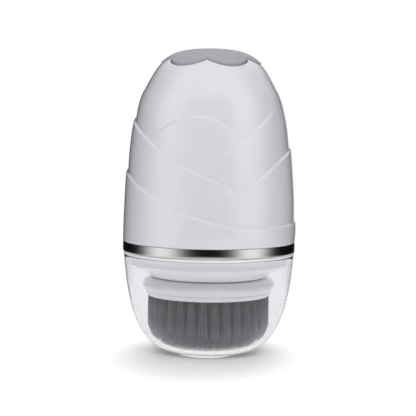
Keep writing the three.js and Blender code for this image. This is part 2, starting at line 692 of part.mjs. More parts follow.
function innerFrame() {
  const floorZ = FRAME_LOW_Z + 1.6;
  const foot = rod(24.8, FRAME_LOW_Z, floorZ, ROUND);
  const web = block(-1.9, -0.4, -9, 17.5, FRAME_LOW_Z, FRAME_TOP_Z);
  const back = block(-10, 10, 17, 18.6, FRAME_LOW_Z, FRAME_TOP_Z);
  const cradle = common(
    tube(CRADLE.inner, CRADLE.outer, floorZ - 0.2, CRADLE.top, 24).translate(BATTERY_X, 0, 0),
    block(-30, BATTERY_X - 1, -20, 20, 0, 100),
  );
  const brace = block(-12.5, -11, 8.3, 17.4, floorZ - 0.2, CRADLE.top);
  const backFoot = block(-12.5, -9, 16.6, 18.6, FRAME_LOW_Z, CRADLE.top);
  const shelf = rod(13, SHELF_Z, FRAME_TOP_Z, 24);
  const shelfArm = block(-8, 8, 0, 18, SHELF_Z, FRAME_TOP_Z);
  const clear = (radius, x, y) => rod(radius, FRAME_LOW_Z - 1, floorZ + 0.5, 16).translate(x, y, 0);
  const screwHole = (x) =>
    new THREE.CylinderGeometry(1.05, 1.05, 4, 10).translate(x, 17.5, BOARD_SCREW.z);
  return cut(
    join(foot, web, back, cradle, brace, backFoot, shelf, shelfArm),
    clear(MOTOR_RADIUS + 0.5, MOTOR_X, 0),
    clear(3.3, 0, 0),
    ...SCREW_POST_ANGLES.map((a) => clear(2.6, ...onPost(a))),
    screwHole(BOARD_SCREW.x),
    screwHole(-BOARD_SCREW.x),
    block(-7, 7, 16, 20, WIRE_WINDOW.low, WIRE_WINDOW.high),
    rod(1.8, SHELF_Z - 1, FRAME_TOP_Z + 1, 12).translate(SWITCH_WIRE_HOLE.x, SWITCH_WIRE_HOLE.y, 0),
  );
}
add("inner_frame", innerFrame(), FRAME_GREY);

// ---------- Main board ----------
const BOARD = { halfWidth: 9.5, low: 47, high: 84 };

function mainBoard() {
  const { halfWidth, low, high } = BOARD;
  const board = block(-halfWidth, halfWidth, BOARD_Y, BOARD_Y + BOARD_THICKNESS, low, high);
  const hole = (x) => new THREE.CylinderGeometry(1.1, 1.1, 6, 10).translate(x, BOARD_Y, BOARD_SCREW.z);
  return cut(board, hole(BOARD_SCREW.x), hole(-BOARD_SCREW.x));
}
add("main_board", mainBoard(), BOARD_GREEN);

const BOARD_BACK_Y = BOARD_Y + BOARD_THICKNESS + 0.05;
const onBoard = (width, depth, height, x, z) =>
  block(x - width / 2, x + width / 2, BOARD_BACK_Y, BOARD_BACK_Y + depth, z - height / 2, z + height / 2);
add("charger_chip", onBoard(4, 1, 4, -4.5, 60.5), CHIP_BLACK);
add("motor_driver_chip", onBoard(5, 1, 4, 4, 66), CHIP_BLACK);
add("inductor", onBoard(4, 1.8, 4, 4.5, 59.5), FRAME_GREY);

function capacitor() {
  const can = new THREE.CylinderGeometry(1.6, 1.6, 1.9, 12);
  return can.translate(-4.5, BOARD_BACK_Y + 0.95, 67.5);
}
add("capacitor", capacitor(), NICKEL);

function boardScrew() {
  return screw(0.9, 1.8, 1.1, 0, 4.2).rotateX(-Math.PI / 2).translate(0, BOARD_BACK_Y, BOARD_SCREW.z);
}
add("board_screw_1", boardScrew(), STEEL, BOARD_SCREW.x);
add("board_screw_2", boardScrew(), STEEL, -BOARD_SCREW.x);

// ---------- Switch under the button ----------
const SWITCH_BOARD_Z = FRAME_TOP_Z + 0.3;
const SWITCH_Z = SWITCH_BOARD_Z + 1.1;
const SWITCH_TOP_Z = SWITCH_Z + 3.5;
const PLUNGER_RADIUS = 1.7;

function switchBody() {
  const body = block(-3, 3, -3, 3, SWITCH_Z, SWITCH_TOP_Z);
  return cut(body, rod(PLUNGER_RADIUS + RUN, SWITCH_Z + 0.8, SWITCH_TOP_Z + 1, 16));
}
add("switch_board", rod(10.5, SWITCH_BOARD_Z, SWITCH_BOARD_Z + 1, 32), BOARD_GREEN);
add("switch_body", switchBody(), CHIP_BLACK);
add("switch_plunger", rod(PLUNGER_RADIUS, SWITCH_Z + 2.2, STEM_END_Z - GAP, 16), ACETAL);

// ---------- Wires ----------
const WIRE_RADIUS = 0.5;
const WIRE_SIDES = 5;
const WIRE_STEPS = 12;
const PAD_Y = BOARD_Y - 0.4; // wires end on the solder pads of the main board

function wire(...stops) {
  const path = new THREE.CatmullRomCurve3(stops.map(([x, y, z]) => new THREE.Vector3(x, y, z)));
  const section = new THREE.Shape(circle(WIRE_RADIUS, WIRE_SIDES));
  return new THREE.ExtrudeGeometry(section, {
    steps: WIRE_STEPS,
    extrudePath: path,
    bevelEnabled: false,
  });
}

const terminalZ = MOTOR_TOP_Z + 3;
const cellTopZ = TOP_TAB_Z + 1.05;
const cellBottomZ = BOTTOM_TAB_Z + 0.95;
const switchPadZ = SWITCH_BOARD_Z + 1.7;
add(
  "motor_wire_red",
  wire([11, 6, terminalZ], [10.8, 7.5, 73.3], [8, 13, 73.8], [5.5, 16.5, 73], [5, PAD_Y, 73]),
  WIRE_RED,
);
add(
  "motor_wire_black",
  wire([11, -6, terminalZ], [10.5, -4.5, 73.6], [9, 4, 75.6], [4, 12.5, 75.5], [2.5, PAD_Y, 75]),
  WIRE_BLACK,
);
add(
  "battery_wire_red",
  wire([-9, 4, cellTopZ], [-8.7, 8.5, 82.4], [-6, 13.4, 79.6], [-4, 16, 75.2], [-3.5, PAD_Y, 74.5]),
  WIRE_RED,
);
add(
  "battery_wire_black",
  wire([-9, 9.4, cellBottomZ], [-8.6, 11.2, 51], [-7.2, 13, 60], [-5.6, 15, 68], [-5, PAD_Y, 70.5]),
  WIRE_BLACK,
);
add(
  "switch_wire",
  wire(
    [4, 8, switchPadZ],
    [4.8, 11.5, 90.4],
    [SWITCH_WIRE_HOLE.x, SWITCH_WIRE_HOLE.y, 87.8],
    [SWITCH_WIRE_HOLE.x, SWITCH_WIRE_HOLE.y, 84.5],
    [5.2, 16, 77.2],
    [5.2, PAD_Y, 75.4],
  ),
  WIRE_BLACK,
);

// ---------- Brush head ----------
const HEAD_RADIUS = 23.2;
const HEAD_HOLLOW = { inner: 8.5, outer: 20.5, top: 25.2 };

function brushHeadShell() {
  const low = TUFT_PLATE_Z + TUFT_PLATE_THICKNESS + 0.1;
  const shell = turned([
    point(0, HEAD_TOP_Z),
    point(20.6, HEAD_TOP_Z),
    point(21.8, HEAD_TOP_Z - 0.4),
    point(22.5, HEAD_TOP_Z - 1.0),
    point(23.0, HEAD_TOP_Z - 1.8),
    point(HEAD_RADIUS, HEAD_TOP_Z - 2.7),
    point(23.0, HEAD_TOP_Z - 3.8),
    point(22.3, low),
    point(HEAD_HOLLOW.outer + 0.1, low),
    point(HEAD_HOLLOW.outer - 0.1, HEAD_HOLLOW.top),
    point(HEAD_HOLLOW.inner + 0.1, HEAD_HOLLOW.top),
    point(HEAD_HOLLOW.inner - 0.1, low),
    point(0, low),
  ]);
  return cut(shell, slab(circle(HUB.radius + 0.4, HEX), low - 1, HEAD_TOP_Z + 1));
}

function tuftPlate() {
  const top = TUFT_PLATE_Z + TUFT_PLATE_THICKNESS;
  return turned([
    point(0, TUFT_PLATE_Z),
    point(21.6, TUFT_PLATE_Z),
    point(21.9, TUFT_PLATE_Z + 0.3),
    point(22.25, top),
    point(0, top),
  ]);
}

// Bristles as two plain bundles: a shorter outer ring and a longer, domed middle.
const MIDDLE_RADIUS = 16.6;

function outerBristles() {
  const top = TUFT_PLATE_Z - 0.05;
  return turned([
    point(MIDDLE_RADIUS + 0.3, top),
    point(BRISTLE_RADIUS, top),
    point(BRISTLE_RADIUS, 10.4),
    point(21.0, 8.7),
    point(20.2, OUTER_TIP_Z),
    point(18.8, OUTER_TIP_Z - 1.5),
    point(MIDDLE_RADIUS + 0.3, OUTER_TIP_Z - 2.6),
  ]);
}

function middleBristles() {
  const top = TUFT_PLATE_Z - 0.05;
  return turned([
    point(0, top),
    point(MIDDLE_RADIUS, top),
    point(MIDDLE_RADIUS, 4.4),
    ...bezier(point(15.8, 3.8), point(12.5, 2.7), point(6, BRISTLE_TIP_Z), point(0, BRISTLE_TIP_Z), 4),
  ]);
}

add("brush_head_shell", brushHeadShell(), LILAC_WHITE);
add("tuft_plate", tuftPlate(), LILAC_WHITE);
add("outer_bristles", outerBristles(), BRISTLE_GREY);
add("middle_bristles", middleBristles(), BRISTLE_GREY);

// ---------- Clear cap ----------
const COVER_RIM_RADIUS = 30.0;
const SNAP_BEAD_Z = 32.9;

// The cap's outline at a distance inside its outer surface.
function coverCurve(inset, steps) {
  const curve = new THREE.CubicBezierCurve(
    point(FOOT_RADIUS, 0),
    point(FOOT_RADIUS + 8.2, 0),
    point(COVER_RIM_RADIUS - 2.0, COVER_TOP_Z - 31.9),
    point(COVER_RIM_RADIUS, COVER_TOP_Z),
  );
  return curve.getPoints(steps).map((p, i) => {
    const along = curve.getTangent(i / steps);
    return point(p.x - along.y * inset, p.y + along.x * inset);
  });
}

function clearCap() {
  const inner = coverCurve(COVER_WALL, 8);
  const rim = inner.pop();
  const bead = [
    point(rim.x - 0.15, SNAP_BEAD_Z - 0.8),
    point(SPIGOT_RADIUS + 0.35, SNAP_BEAD_Z),
    point(rim.x, SNAP_BEAD_Z + 0.6),
    point(rim.x, COVER_TOP_Z),
  ];
  return turned([point(0, 0), ...coverCurve(0, 9), ...[point(0, COVER_WALL), ...inner, ...bead].reverse()]);
}
add("clear_cap", clearCap(), CLEAR);

export default part;
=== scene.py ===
"""Facial cleansing brush: the visual model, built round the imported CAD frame.

The frame is in metres, +Z up. -Y is the front and +Y the side with the charging port. Shapes are
worked out in millimetres and scaled once, when their mesh is made. The studio is in metres.
"""
import json
import math
import random

import bmesh
import bpy
import numpy as np
from mathutils import Matrix, Vector


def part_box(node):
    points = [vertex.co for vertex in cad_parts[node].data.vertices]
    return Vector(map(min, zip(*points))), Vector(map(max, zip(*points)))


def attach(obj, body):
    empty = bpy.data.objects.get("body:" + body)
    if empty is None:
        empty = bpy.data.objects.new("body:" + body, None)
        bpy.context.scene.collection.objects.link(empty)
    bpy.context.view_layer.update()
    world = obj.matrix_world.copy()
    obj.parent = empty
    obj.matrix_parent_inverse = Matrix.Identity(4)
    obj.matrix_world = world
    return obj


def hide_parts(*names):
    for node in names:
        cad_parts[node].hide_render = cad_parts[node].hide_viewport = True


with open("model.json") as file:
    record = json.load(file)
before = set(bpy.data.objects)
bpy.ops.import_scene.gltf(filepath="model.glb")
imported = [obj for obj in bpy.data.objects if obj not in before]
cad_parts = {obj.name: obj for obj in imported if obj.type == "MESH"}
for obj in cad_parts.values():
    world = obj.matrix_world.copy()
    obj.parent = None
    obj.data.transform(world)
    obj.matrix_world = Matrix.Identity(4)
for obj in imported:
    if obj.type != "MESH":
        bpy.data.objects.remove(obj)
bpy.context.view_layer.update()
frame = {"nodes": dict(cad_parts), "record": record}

MM = 0.001
COLUMNS = 264  # points round each round piece; a multiple of the six petals
ANGLE = np.linspace(0, 2 * math.pi, COLUMNS, endpoint=False)
COS, SIN, ONES = np.cos(ANGLE), np.sin(ANGLE), np.ones(COLUMNS)


def extent(node):
    """Lowest and highest corner of a CAD node, in millimetres."""
    low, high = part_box(node)
    return low / MM, high / MM


# ---------- Sizes, from the frame ----------
HOUSING_LOW, HOUSING_HIGH = extent("upper_housing")
RING_LOW, RING_HIGH = extent("trim_ring")
LOWER_LOW, LOWER_HIGH = extent("lower_body")
BUTTON_LOW, BUTTON_HIGH = extent("power_button")
COVER_HIGH = extent("clear_cap")[1]
PLATE_LOW, PLATE_HIGH = extent("tuft_plate")
HEAD_LOW, HEAD_HIGH = extent("brush_head_shell")
PLUG_LOW, PLUG_HIGH = extent("port_plug")
BODY_RADIUS = HOUSING_HIGH.x
SEAM_Z = HOUSING_LOW.z
TOP_Z = BUTTON_HIGH.z
PORT_Z = (PLUG_LOW.z + PLUG_HIGH.z) / 2


# ---------- Curves ----------
def bezier(p0, p1, p2, p3, count):
    """count points along a cubic curve, ends included, as an array of (radius, z)."""
    t = np.linspace(0, 1, count)[:, None]
    p0, p1, p2, p3 = (np.array(p, float) for p in (p0, p1, p2, p3))
    return (1 - t) ** 3 * p0 + 3 * (1 - t) ** 2 * t * p1 + 3 * (1 - t) * t * t * p2 + t**3 * p3


def smoothstep(x):
    x = np.clip(x, 0, 1)
    return x * x * (3 - 2 * x)


def rounded(corners, steps=5):
    """An outline of corners (r, z, fillet), rounded off. A fillet of 0 keeps a corner sharp."""
    out = []
    for i, (r, z, fillet) in enumerate(corners):
        here = np.array((r, z), float)
        if not fillet:
            out.append(here)
            continue
        before = np.array(corners[i - 1][:2], float) - here
        after = np.array(corners[(i + 1) % len(corners)][:2], float) - here
        reach = min(fillet, 0.45 * np.linalg.norm(before), 0.45 * np.linalg.norm(after))
        a = here + before / np.linalg.norm(before) * reach
        b = here + after / np.linalg.norm(after) * reach
        for t in np.linspace(0, 1, steps):
            out.append((1 - t) ** 2 * a + 2 * (1 - t) * t * here + t * t * b)
    return out


# ---------- Meshes ----------
def add_object(name, data):
    obj = bpy.data.objects.new(name, data)
    bpy.context.collection.objects.link(obj)
    return obj


def mesh_object(name, verts, faces, sharp_angle=40):
    """A smooth-shaded object from points in millimetres, with its normals pointing out."""
    mesh = bpy.data.meshes.new(name)
    mesh.from_pydata([tuple(v) for v in np.asarray(verts) * MM], [], faces)
    work = bmesh.new()
    work.from_mesh(mesh)
    bmesh.ops.recalc_face_normals(work, faces=work.faces)
    work.to_mesh(mesh)
    work.free()
    mesh.shade_smooth()
    mesh.set_sharp_from_angle(angle=math.radians(sharp_angle))
    return add_object(name, mesh)


def ring_faces(rows, columns, loop=False):
    """Quads between rows of points that run round an axis. loop joins the last row to the first."""
    faces = []
    for i in range(rows if loop else rows - 1):
        a, b = i * columns, ((i + 1) % rows) * columns
        for j in range(columns):
            k = (j + 1) % columns
            faces.append((a + j, a + k, b + k, b + j))
    return faces


def fan_faces(rows, columns):
    """Triangles that close the first and last row, round two points that follow all the rows."""
    centre = rows * columns
    last = centre - columns
    faces = []
    for j in range(columns):
        k = (j + 1) % columns
        faces += [(centre, j, k), (centre + 1, last + k, last + j)]
    return faces


def turned(name, outline):
    """A piece turned about Z from an outline of (r, z), which may end on the axis at both ends."""
    outline = [np.asarray(p, float) for p in outline]
    on_axis = outline[0][0] < 1e-6 and outline[-1][0] < 1e-6
    rings = outline[1:-1] if on_axis else outline
    verts = np.concatenate(
        [np.stack([r * COS, r * SIN, np.full(COLUMNS, z)], 1) for r, z in rings]
    )
    faces = ring_faces(len(rings), COLUMNS, loop=not on_axis)
    if on_axis:
        verts = np.concatenate([verts, [(0, 0, outline[0][1]), (0, 0, outline[-1][1])]])
        faces += fan_faces(len(rings), COLUMNS)
    return mesh_object(name, verts, faces)


def place(obj, body, slot, material, *nodes):
    """Gives a piece its body and material, and hides the CAD nodes that it replaces. slot is not
    used.
    """
    obj.data.materials.clear()
    obj.data.materials.append(material)
    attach(obj, body)
    if nodes:
        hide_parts(*nodes)
    return obj


# ---------- Materials ----------
def shader(name):
    material = bpy.data.materials.new(name)
    material.use_nodes = True
    return material, material.node_tree.nodes, material.node_tree.links


def feed(links, value, socket):
    """Gives a socket its value, which is another socket or a number."""
    if isinstance(value, bpy.types.NodeSocket):
        links.new(value, socket)
    else:
        socket.default_value = value


def maths(nodes, links, operation, a, b=None):
    """A maths node over one or two sockets or numbers."""
    node = nodes.new("ShaderNodeMath")
    node.operation = operation
    feed(links, a, node.inputs[0])
    if b is not None:
        feed(links, b, node.inputs[1])
    return node.outputs["Value"]


def blend(nodes, links, factor, a, b):
    """The number a where the factor is 0, and b where it is 1."""
    node = nodes.new("ShaderNodeMix")
    node.data_type = "FLOAT"
    for name, value in (("Factor", factor), ("A", a), ("B", b)):
        feed(links, value, node.inputs[name])
    return node.outputs["Result"]


def blend_shaders(nodes, links, factor, a, b):
    """Shader a where the factor is 0, and b where it is 1."""
    node = nodes.new("ShaderNodeMixShader")
    for value, socket in zip((factor, a, b), node.inputs):
        links.new(value, socket)
    return node.outputs["Shader"]


def ramp(nodes, links, value, start, end, low=0.0, high=1.0, curve="SMOOTHSTEP"):
    """Goes from low to high while the value goes from start to end, and stays there beyond them."""
    node = nodes.new("ShaderNodeMapRange")
    node.interpolation_type = curve
    numbers = {"From Min": start, "From Max": end, "To Min": low, "To Max": high}
    for name, number in numbers.items():
        node.inputs[name].default_value = number
    links.new(value, node.inputs["Value"])
    return node.outputs["Result"]


def noise(nodes, links, scale, detail=3.0, stretch=None):
    """A noise texture in the piece's own space, in features per metre."""
    texture = nodes.new("ShaderNodeTexNoise")
    texture.inputs["Scale"].default_value = scale
    texture.inputs["Detail"].default_value = detail
    source = nodes.new("ShaderNodeTexCoord").outputs["Object"]
    if stretch:
        mapping = nodes.new("ShaderNodeMapping")
        mapping.inputs["Scale"].default_value = stretch
        links.new(source, mapping.inputs["Vector"])
        source = mapping.outputs["Vector"]
    links.new(source, texture.inputs["Vector"])
    return texture.outputs["Fac"]


def two_colours(nodes, links, factor, dark, light):
    """The dark colour below a factor of 0.3, the light one above 0.7, and between them a blend."""
    node = nodes.new("ShaderNodeValToRGB")
    stops = node.color_ramp.elements
    for stop, position, colour in zip(stops, (0.3, 0.7), (dark, light)):
        stop.position, stop.color = position, (*colour, 1)
    links.new(factor, node.inputs["Fac"])
    return node.outputs["Color"]


GRAIN_DEPTH = 0.00001  # in metres


def surface(name, colour, roughness, metallic=0.0, tint=0.03, smudge=0.03, patch=150, grain=2500,
            bump=0.1, ior=1.5, coat=0.0, stretch=None):
    """A moulded or machined surface: colour drift, uneven gloss and a fine grain.

    tint is how far the colour drifts, and smudge how far the roughness does. patch and grain are
    the features per metre of the drift and of the grain.
    """
    material, nodes, links = shader(name)
    bsdf = nodes["Principled BSDF"]
    bsdf.inputs["Metallic"].default_value = metallic
    bsdf.inputs["IOR"].default_value = ior
    bsdf.inputs["Coat Weight"].default_value = coat
    bsdf.inputs["Coat Roughness"].default_value = 0.06
    drift = noise(nodes, links, patch, 2.0)
    dark = tuple(c * (1 - tint) for c in colour)
    light = tuple(min(1, c * (1 + tint)) for c in colour)
    links.new(two_colours(nodes, links, drift, dark, light), bsdf.inputs["Base Color"])
    fine = noise(nodes, links, grain, 4.0, stretch)
    low, high = max(0.02, roughness - smudge), roughness + smudge
    gloss = ramp(nodes, links, fine, 0.0, 1.0, low, high, "LINEAR")
    links.new(gloss, bsdf.inputs["Roughness"])
    relief = nodes.new("ShaderNodeBump")
    relief.inputs["Strength"].default_value = bump
    relief.inputs["Distance"].default_value = GRAIN_DEPTH
    links.new(fine, relief.inputs["Height"])
    links.new(relief.outputs["Normal"], bsdf.inputs["Normal"])
    return material


CLEAR_TINT = (0.915, 0.91, 0.935)
CLEAR_SHADOW = (0.97, 0.97, 0.985)  # what a wall of it leaves of the lamps' light
CLEAR_SHARE = 0.985
CLEAR_HAZE = 0.03


def clear_plastic():
    """Clear polished plastic. The lamps' light passes straight through it to the head inside."""
    material, nodes, links = shader("clear_plastic")
    bsdf = nodes["Principled BSDF"]
    bsdf.inputs["Base Color"].default_value = (*CLEAR_TINT, 1)
    bsdf.inputs["Transmission Weight"].default_value = CLEAR_SHARE
    bsdf.inputs["Specular IOR Level"].default_value = 0.25
    bsdf.inputs["IOR"].default_value = 1.49
    haze = noise(nodes, links, 900, 3.0)
    gloss = ramp(nodes, links, haze, 0.0, 1.0, 0.0, CLEAR_HAZE, "LINEAR")
    links.new(gloss, bsdf.inputs["Roughness"])
    through = nodes.new("ShaderNodeBsdfTransparent")
    through.inputs["Color"].default_value = (*CLEAR_SHADOW, 1)
    ray = nodes.new("ShaderNodeLightPath").outputs
    light = maths(nodes, links, "MAXIMUM", ray["Is Shadow Ray"], ray["Is Diffuse Ray"])
    look = blend_shaders(nodes, links, light, bsdf.outputs["BSDF"], through.outputs["BSDF"])
    links.new(look, nodes["Material Output"].inputs["Surface"])
    return material


def bristle_nylon():
    """Dyed nylon, in the colour that each filament's mesh carries, which also holds painted shade
    and light.
    """
    material, nodes, links = shader("bristle_nylon")
    bsdf = nodes["Principled BSDF"]
    bsdf.inputs["Roughness"].default_value = 0.42
    bsdf.inputs["Specular IOR Level"].default_value = 0.2
    shade = nodes.new("ShaderNodeAttribute")
    shade.attribute_name = "shade"
    links.new(shade.outputs["Color"], bsdf.inputs["Base Color"])
    return material


LILAC, PALE_WHITE, GREY = (0.82, 0.81, 0.875), (0.95, 0.942, 0.965), (0.40, 0.40, 0.435)
GLOSS = surface("housing_gloss", LILAC, 0.14, tint=0.008, smudge=0.02, patch=60, grain=700,
                bump=0.05, ior=1.65, coat=1.0)
WHITE = surface("lower_gloss", PALE_WHITE, 0.2, tint=0.008, patch=80, grain=900, bump=0.05)
SATIN = surface("button_satin", GREY, 0.42, tint=0.02, smudge=0.05, patch=300, grain=6000,
                bump=0.25)
CHROME = surface("trim_chrome", (0.80, 0.80, 0.79), 0.07, metallic=1.0, tint=0.02, smudge=0.02,
                 patch=200, grain=1500, bump=0.03, stretch=(1, 1, 12))
CLEAR = clear_plastic()
BRISTLE = bristle_nylon()
SILICONE = surface("plug_silicone", (0.70, 0.69, 0.74), 0.55, smudge=0.06, grain=5000, bump=0.3)
BRUSHED = (1, 1, 0.1)  # long scratches along Z
SLOT_MATERIALS = {
    "housing_plastic": GLOSS,
    "button_satin": SATIN,
    "trim_chrome": CHROME,
    "clear_plastic": CLEAR,
    "bristle": surface("bristle_bundle", (0.10, 0.10, 0.11), 0.6, grain=4000, stretch=(1, 1, 0.02)),
    "steel": surface("bright_steel", (0.60, 0.61, 0.62), 0.3, metallic=1.0, smudge=0.08, grain=4000,
                     bump=0.2, stretch=BRUSHED),
    "seal_rubber": surface("seal_rubber", (0.02, 0.02, 0.022), 0.7, tint=0.2, grain=5000, bump=0.4),
    "plug_silicone": SILICONE,
    "nickel": surface("nickel_plate", (0.72, 0.69, 0.62), 0.25, metallic=1.0, smudge=0.06),
    "brass": surface("turned_brass", (0.70, 0.50, 0.20), 0.28, metallic=1.0, smudge=0.07,
                     stretch=BRUSHED),
    "gear_acetal": surface("gear_acetal", (0.80, 0.78, 0.70), 0.4, tint=0.02, bump=0.15),
    "frame_plastic": surface("frame_plastic", (0.07, 0.075, 0.085), 0.55, tint=0.1, bump=0.3),
    "black_plastic": surface("black_plastic", (0.015, 0.015, 0.017), 0.45, tint=0.15, bump=0.25),
    "cell_wrap": surface("cell_wrap", (0.03, 0.12, 0.35), 0.3, tint=0.06, bump=0.15),
    "circuit_board": surface("circuit_board", (0.01, 0.12, 0.045), 0.35, tint=0.25, patch=900,
                             grain=3500, bump=0.3),
    "wire_red": surface("wire_red", (0.45, 0.02, 0.015), 0.35, tint=0.06),
    "wire_black": surface("wire_black", (0.02, 0.02, 0.022), 0.35, tint=0.1),
}


def finish_cad_nodes():
    """Gives every CAD node the material of its slot."""
    for sub in frame["record"]["subparts"]:
        mesh = frame["nodes"][sub["node"]].data
        mesh.materials.clear()
        mesh.materials.append(SLOT_MATERIALS[sub["material_slot"]])


# ---------- Outline of the handle ----------
SHOULDER = (23.5, 92.0)  # where the long side runs into the dome
SIDE_PULL = 19.2  # how far the side climbs straight up from the seam before it starts to lean in
HOUSING_TOP_Z = TOP_Z - 0.55


def side_and_dome(top_z, fullness):
    """The handle's outline from the seam to the top, as an array of (r, z).

    The larger the fullness, the wider the flat middle of the dome.
    """
    foot, pull = (BODY_RADIUS, SEAM_Z), (BODY_RADIUS, SEAM_Z + SIDE_PULL)
    side = bezier(foot, pull, (27.3, 85.6), SHOULDER, 400)
    dome = bezier(SHOULDER, (18.15, 101.6), (fullness, top_z), (0, top_z), 400)
    return np.concatenate([side, dome[1:]])


HOUSING_LINE = side_and_dome(HOUSING_TOP_Z, 17.1)
BUTTON_LINE = side_and_dome(TOP_Z, 17.4)
LENGTH_ALONG = np.concatenate([[0], np.cumsum(np.hypot(*np.diff(HOUSING_LINE, axis=0).T))])


def button_z(radius):
    """Height of the button's dome at a radius."""
    line = BUTTON_LINE[::-1]
    return np.interp(radius, line[:, 0], line[:, 1])


# ---------- Sculpted sheaths ----------
# Each edge is the upper lip of a sheath that wraps the handle: the lip's height, over how many
# degrees it fades in and out at its ends, and its path as (azimuth in degrees, z). Azimuth 0 is the
# front and 90 is +X. The back is the front's mirror image, so that the edges meet.
SHEATH_EDGES = [
    (0.40, 12, 8, [(-40, 77.4), (-32, 79.8), (-18, 82.8), (-2, 84.0), (8, 83.1), (18, 80.4),
                   (24, 78.4)]),
    (0.60, 0, 9, [(-90, 82.3), (-68, 80.0), (-46, 75.8), (-25, 69.9), (-2, 64.6), (23, 59.1)]),
    (0.44, 12, 12, [(6, 69.3), (18, 72.7), (28, 76.0), (42, 80.0), (54, 83.5), (66, 86.3)]),
    (0.58, 12, 0, [(9, 53.7), (23, 57.7), (39, 62.3), (58, 67.9), (75, 70.8), (90, 72.3)]),
    (0.58, 0, 0, [(-90, 64.2), (-65, 62.0), (-41, 57.3), (-22, 53.0), (-1, 49.6), (18, 47.2),
                  (40, 46.4), (90, 46.6)]),
]
PATH_SAMPLES = 200
LIP_WIDTH = 0.9
TUCK = 5.0  # how far above a lip the sheath behind it starts to tuck in
SWELL = 9.0  # how far below a lip its own sheath stays proud
MEAN_RADIUS = 28.0  # turns degrees round the handle into millimetres
FADE_LOW = 4.0  # the sheaths grow out of the plain outline over this height above the seam
FADE_TOP_Z, FADE_HIGH = 99.0, 6.0  # and are gone at this height, having faded over this one
PORT_CLEAR, PORT_FADE = 8.0, 5.0  # flat within the first distance of the port's middle, then rising


def smooth_path(points):
    """A smooth curve z(azimuth) through the points, as many samples of azimuth and of z."""
    x, z = np.array(points, float).T
    slope = np.gradient(z, x)
    at = np.linspace(x[0], x[-1], PATH_SAMPLES)
    i = np.clip(np.searchsorted(x, at) - 1, 0, len(x) - 2)
    width = x[i + 1] - x[i]
    t = (at - x[i]) / width
    h00, h10 = (1 + 2 * t) * (1 - t) ** 2, t * (1 - t) ** 2
    h01, h11 = t * t * (3 - 2 * t), t * t * (t - 1)
    return at, h00 * z[i] + h10 * width * slope[i] + h01 * z[i + 1] + h11 * width * slope[i + 1]


SHEATHS = [(lip, start, end, *smooth_path(path)) for lip, start, end, path in SHEATH_EDGES]


def folded(azimuth):
    """Azimuth in degrees, with the back folded onto the front."""
    azimuth = (azimuth + 180) % 360 - 180
    return np.where(np.abs(azimuth) > 90, np.sign(azimuth) * 180 - azimuth, azimuth)


def below_lip(azimuth, z, sheath):
    """Distance below a sheath's lip, square to it, and how much of the lip is there, 0 to 1."""
    _, start, end, at, lip_z = sheath
    slope = np.gradient(lip_z, np.radians(at) * MEAN_RADIUS)
    down = (np.interp(azimuth, at, lip_z) - z) / np.hypot(1, np.interp(azimuth, at, slope))
    share = np.ones_like(azimuth)
    if start:
        share = share * smoothstep((azimuth - at[0]) / start)
    if end:
        share = share * smoothstep((at[-1] - azimuth) / end)
    return down, share


def relief(azimuth, z):
    """How far the housing stands out from its plain outline: at a lip, by half its height.

    Just above a lip, it is sunk by the other half.
    """
    a = folded(azimuth)
    out = np.zeros_like(a)
    for sheath in SHEATHS:
        down, share = below_lip(a, z, sheath)
        proud = 0.5 * np.exp(-((np.maximum(down, 0) / SWELL) ** 2))
        tucked = -0.5 * np.exp(-((np.minimum(down, 0) / TUCK) ** 2))
        step = smoothstep((down + LIP_WIDTH / 2) / LIP_WIDTH)
        out += sheath[0] * share * (tucked + (proud - tucked) * step)
    ends = smoothstep((z - SEAM_Z) / FADE_LOW) * smoothstep((FADE_TOP_Z - z) / FADE_HIGH)
    from_port = np.hypot(np.radians(azimuth % 360 - 180) * BODY_RADIUS, z - PORT_Z)
    return out * ends * smoothstep((from_port - PORT_CLEAR) / PORT_FADE)


def near_lip(azimuth, z, reach):
    """True where a lip that is more than a trace passes within reach."""
    a = folded(azimuth)
    near = np.zeros(a.shape, bool)
    for sheath in SHEATHS:
        down, share = below_lip(a, z, sheath)
        near |= (np.abs(down) < reach) & (share > 0.02)
    return near


# ---------- Petal outline of the button ----------
PETALS = 6
NOTCH_RADIUS = 14.9
PETAL_RADIUS = BUTTON_HIGH.x
PETAL_SHARPNESS = 0.7  # the lower, the rounder the petals and the sharper the notches
POCKET_GAP = 0.3


def petal_radius(angle):
    """Radius of the button's edge. A notch faces the front."""
    wave = np.abs(np.sin(PETALS / 2 * (angle + math.pi / 2)))
    return NOTCH_RADIUS + (PETAL_RADIUS - NOTCH_RADIUS) * wave**PETAL_SHARPNESS


# ---------- Housing ----------
SKIN_ROWS = 104
SEAM_ROWS = 3  # the rows before the skin: the underside and the rounded edge at the seam
SKIN_START = 0.0016  # the skin starts just above the rounded seam edge
LIP_REACHES = (1.1, 0.55)  # the skin's faces are split within each of these distances of a lip
WALL = 2.2
RIM_FILLET = 0.3
POCKET_DEPTH = 2.5
STEM_HOLE_RADIUS = 3.15
SEAL_SEAT_RADIUS, SEAL_SEAT_Z = 4.9, 99.6
BOSS_RADIUS = 6.0
BOSS_LOW_Z, BOSS_TOP_Z = 97.4, 101.0
INNER_SHOULDER, INNER_TOP_Z = (21.3, 90.7), 101.8


def rim_length(angle):
    """Length along the housing's outline from the seam to the petal-shaped rim."""
    rim = petal_radius(angle) + POCKET_GAP + RIM_FILLET
    return np.interp(rim, HOUSING_LINE[::-1, 0], LENGTH_ALONG[::-1])


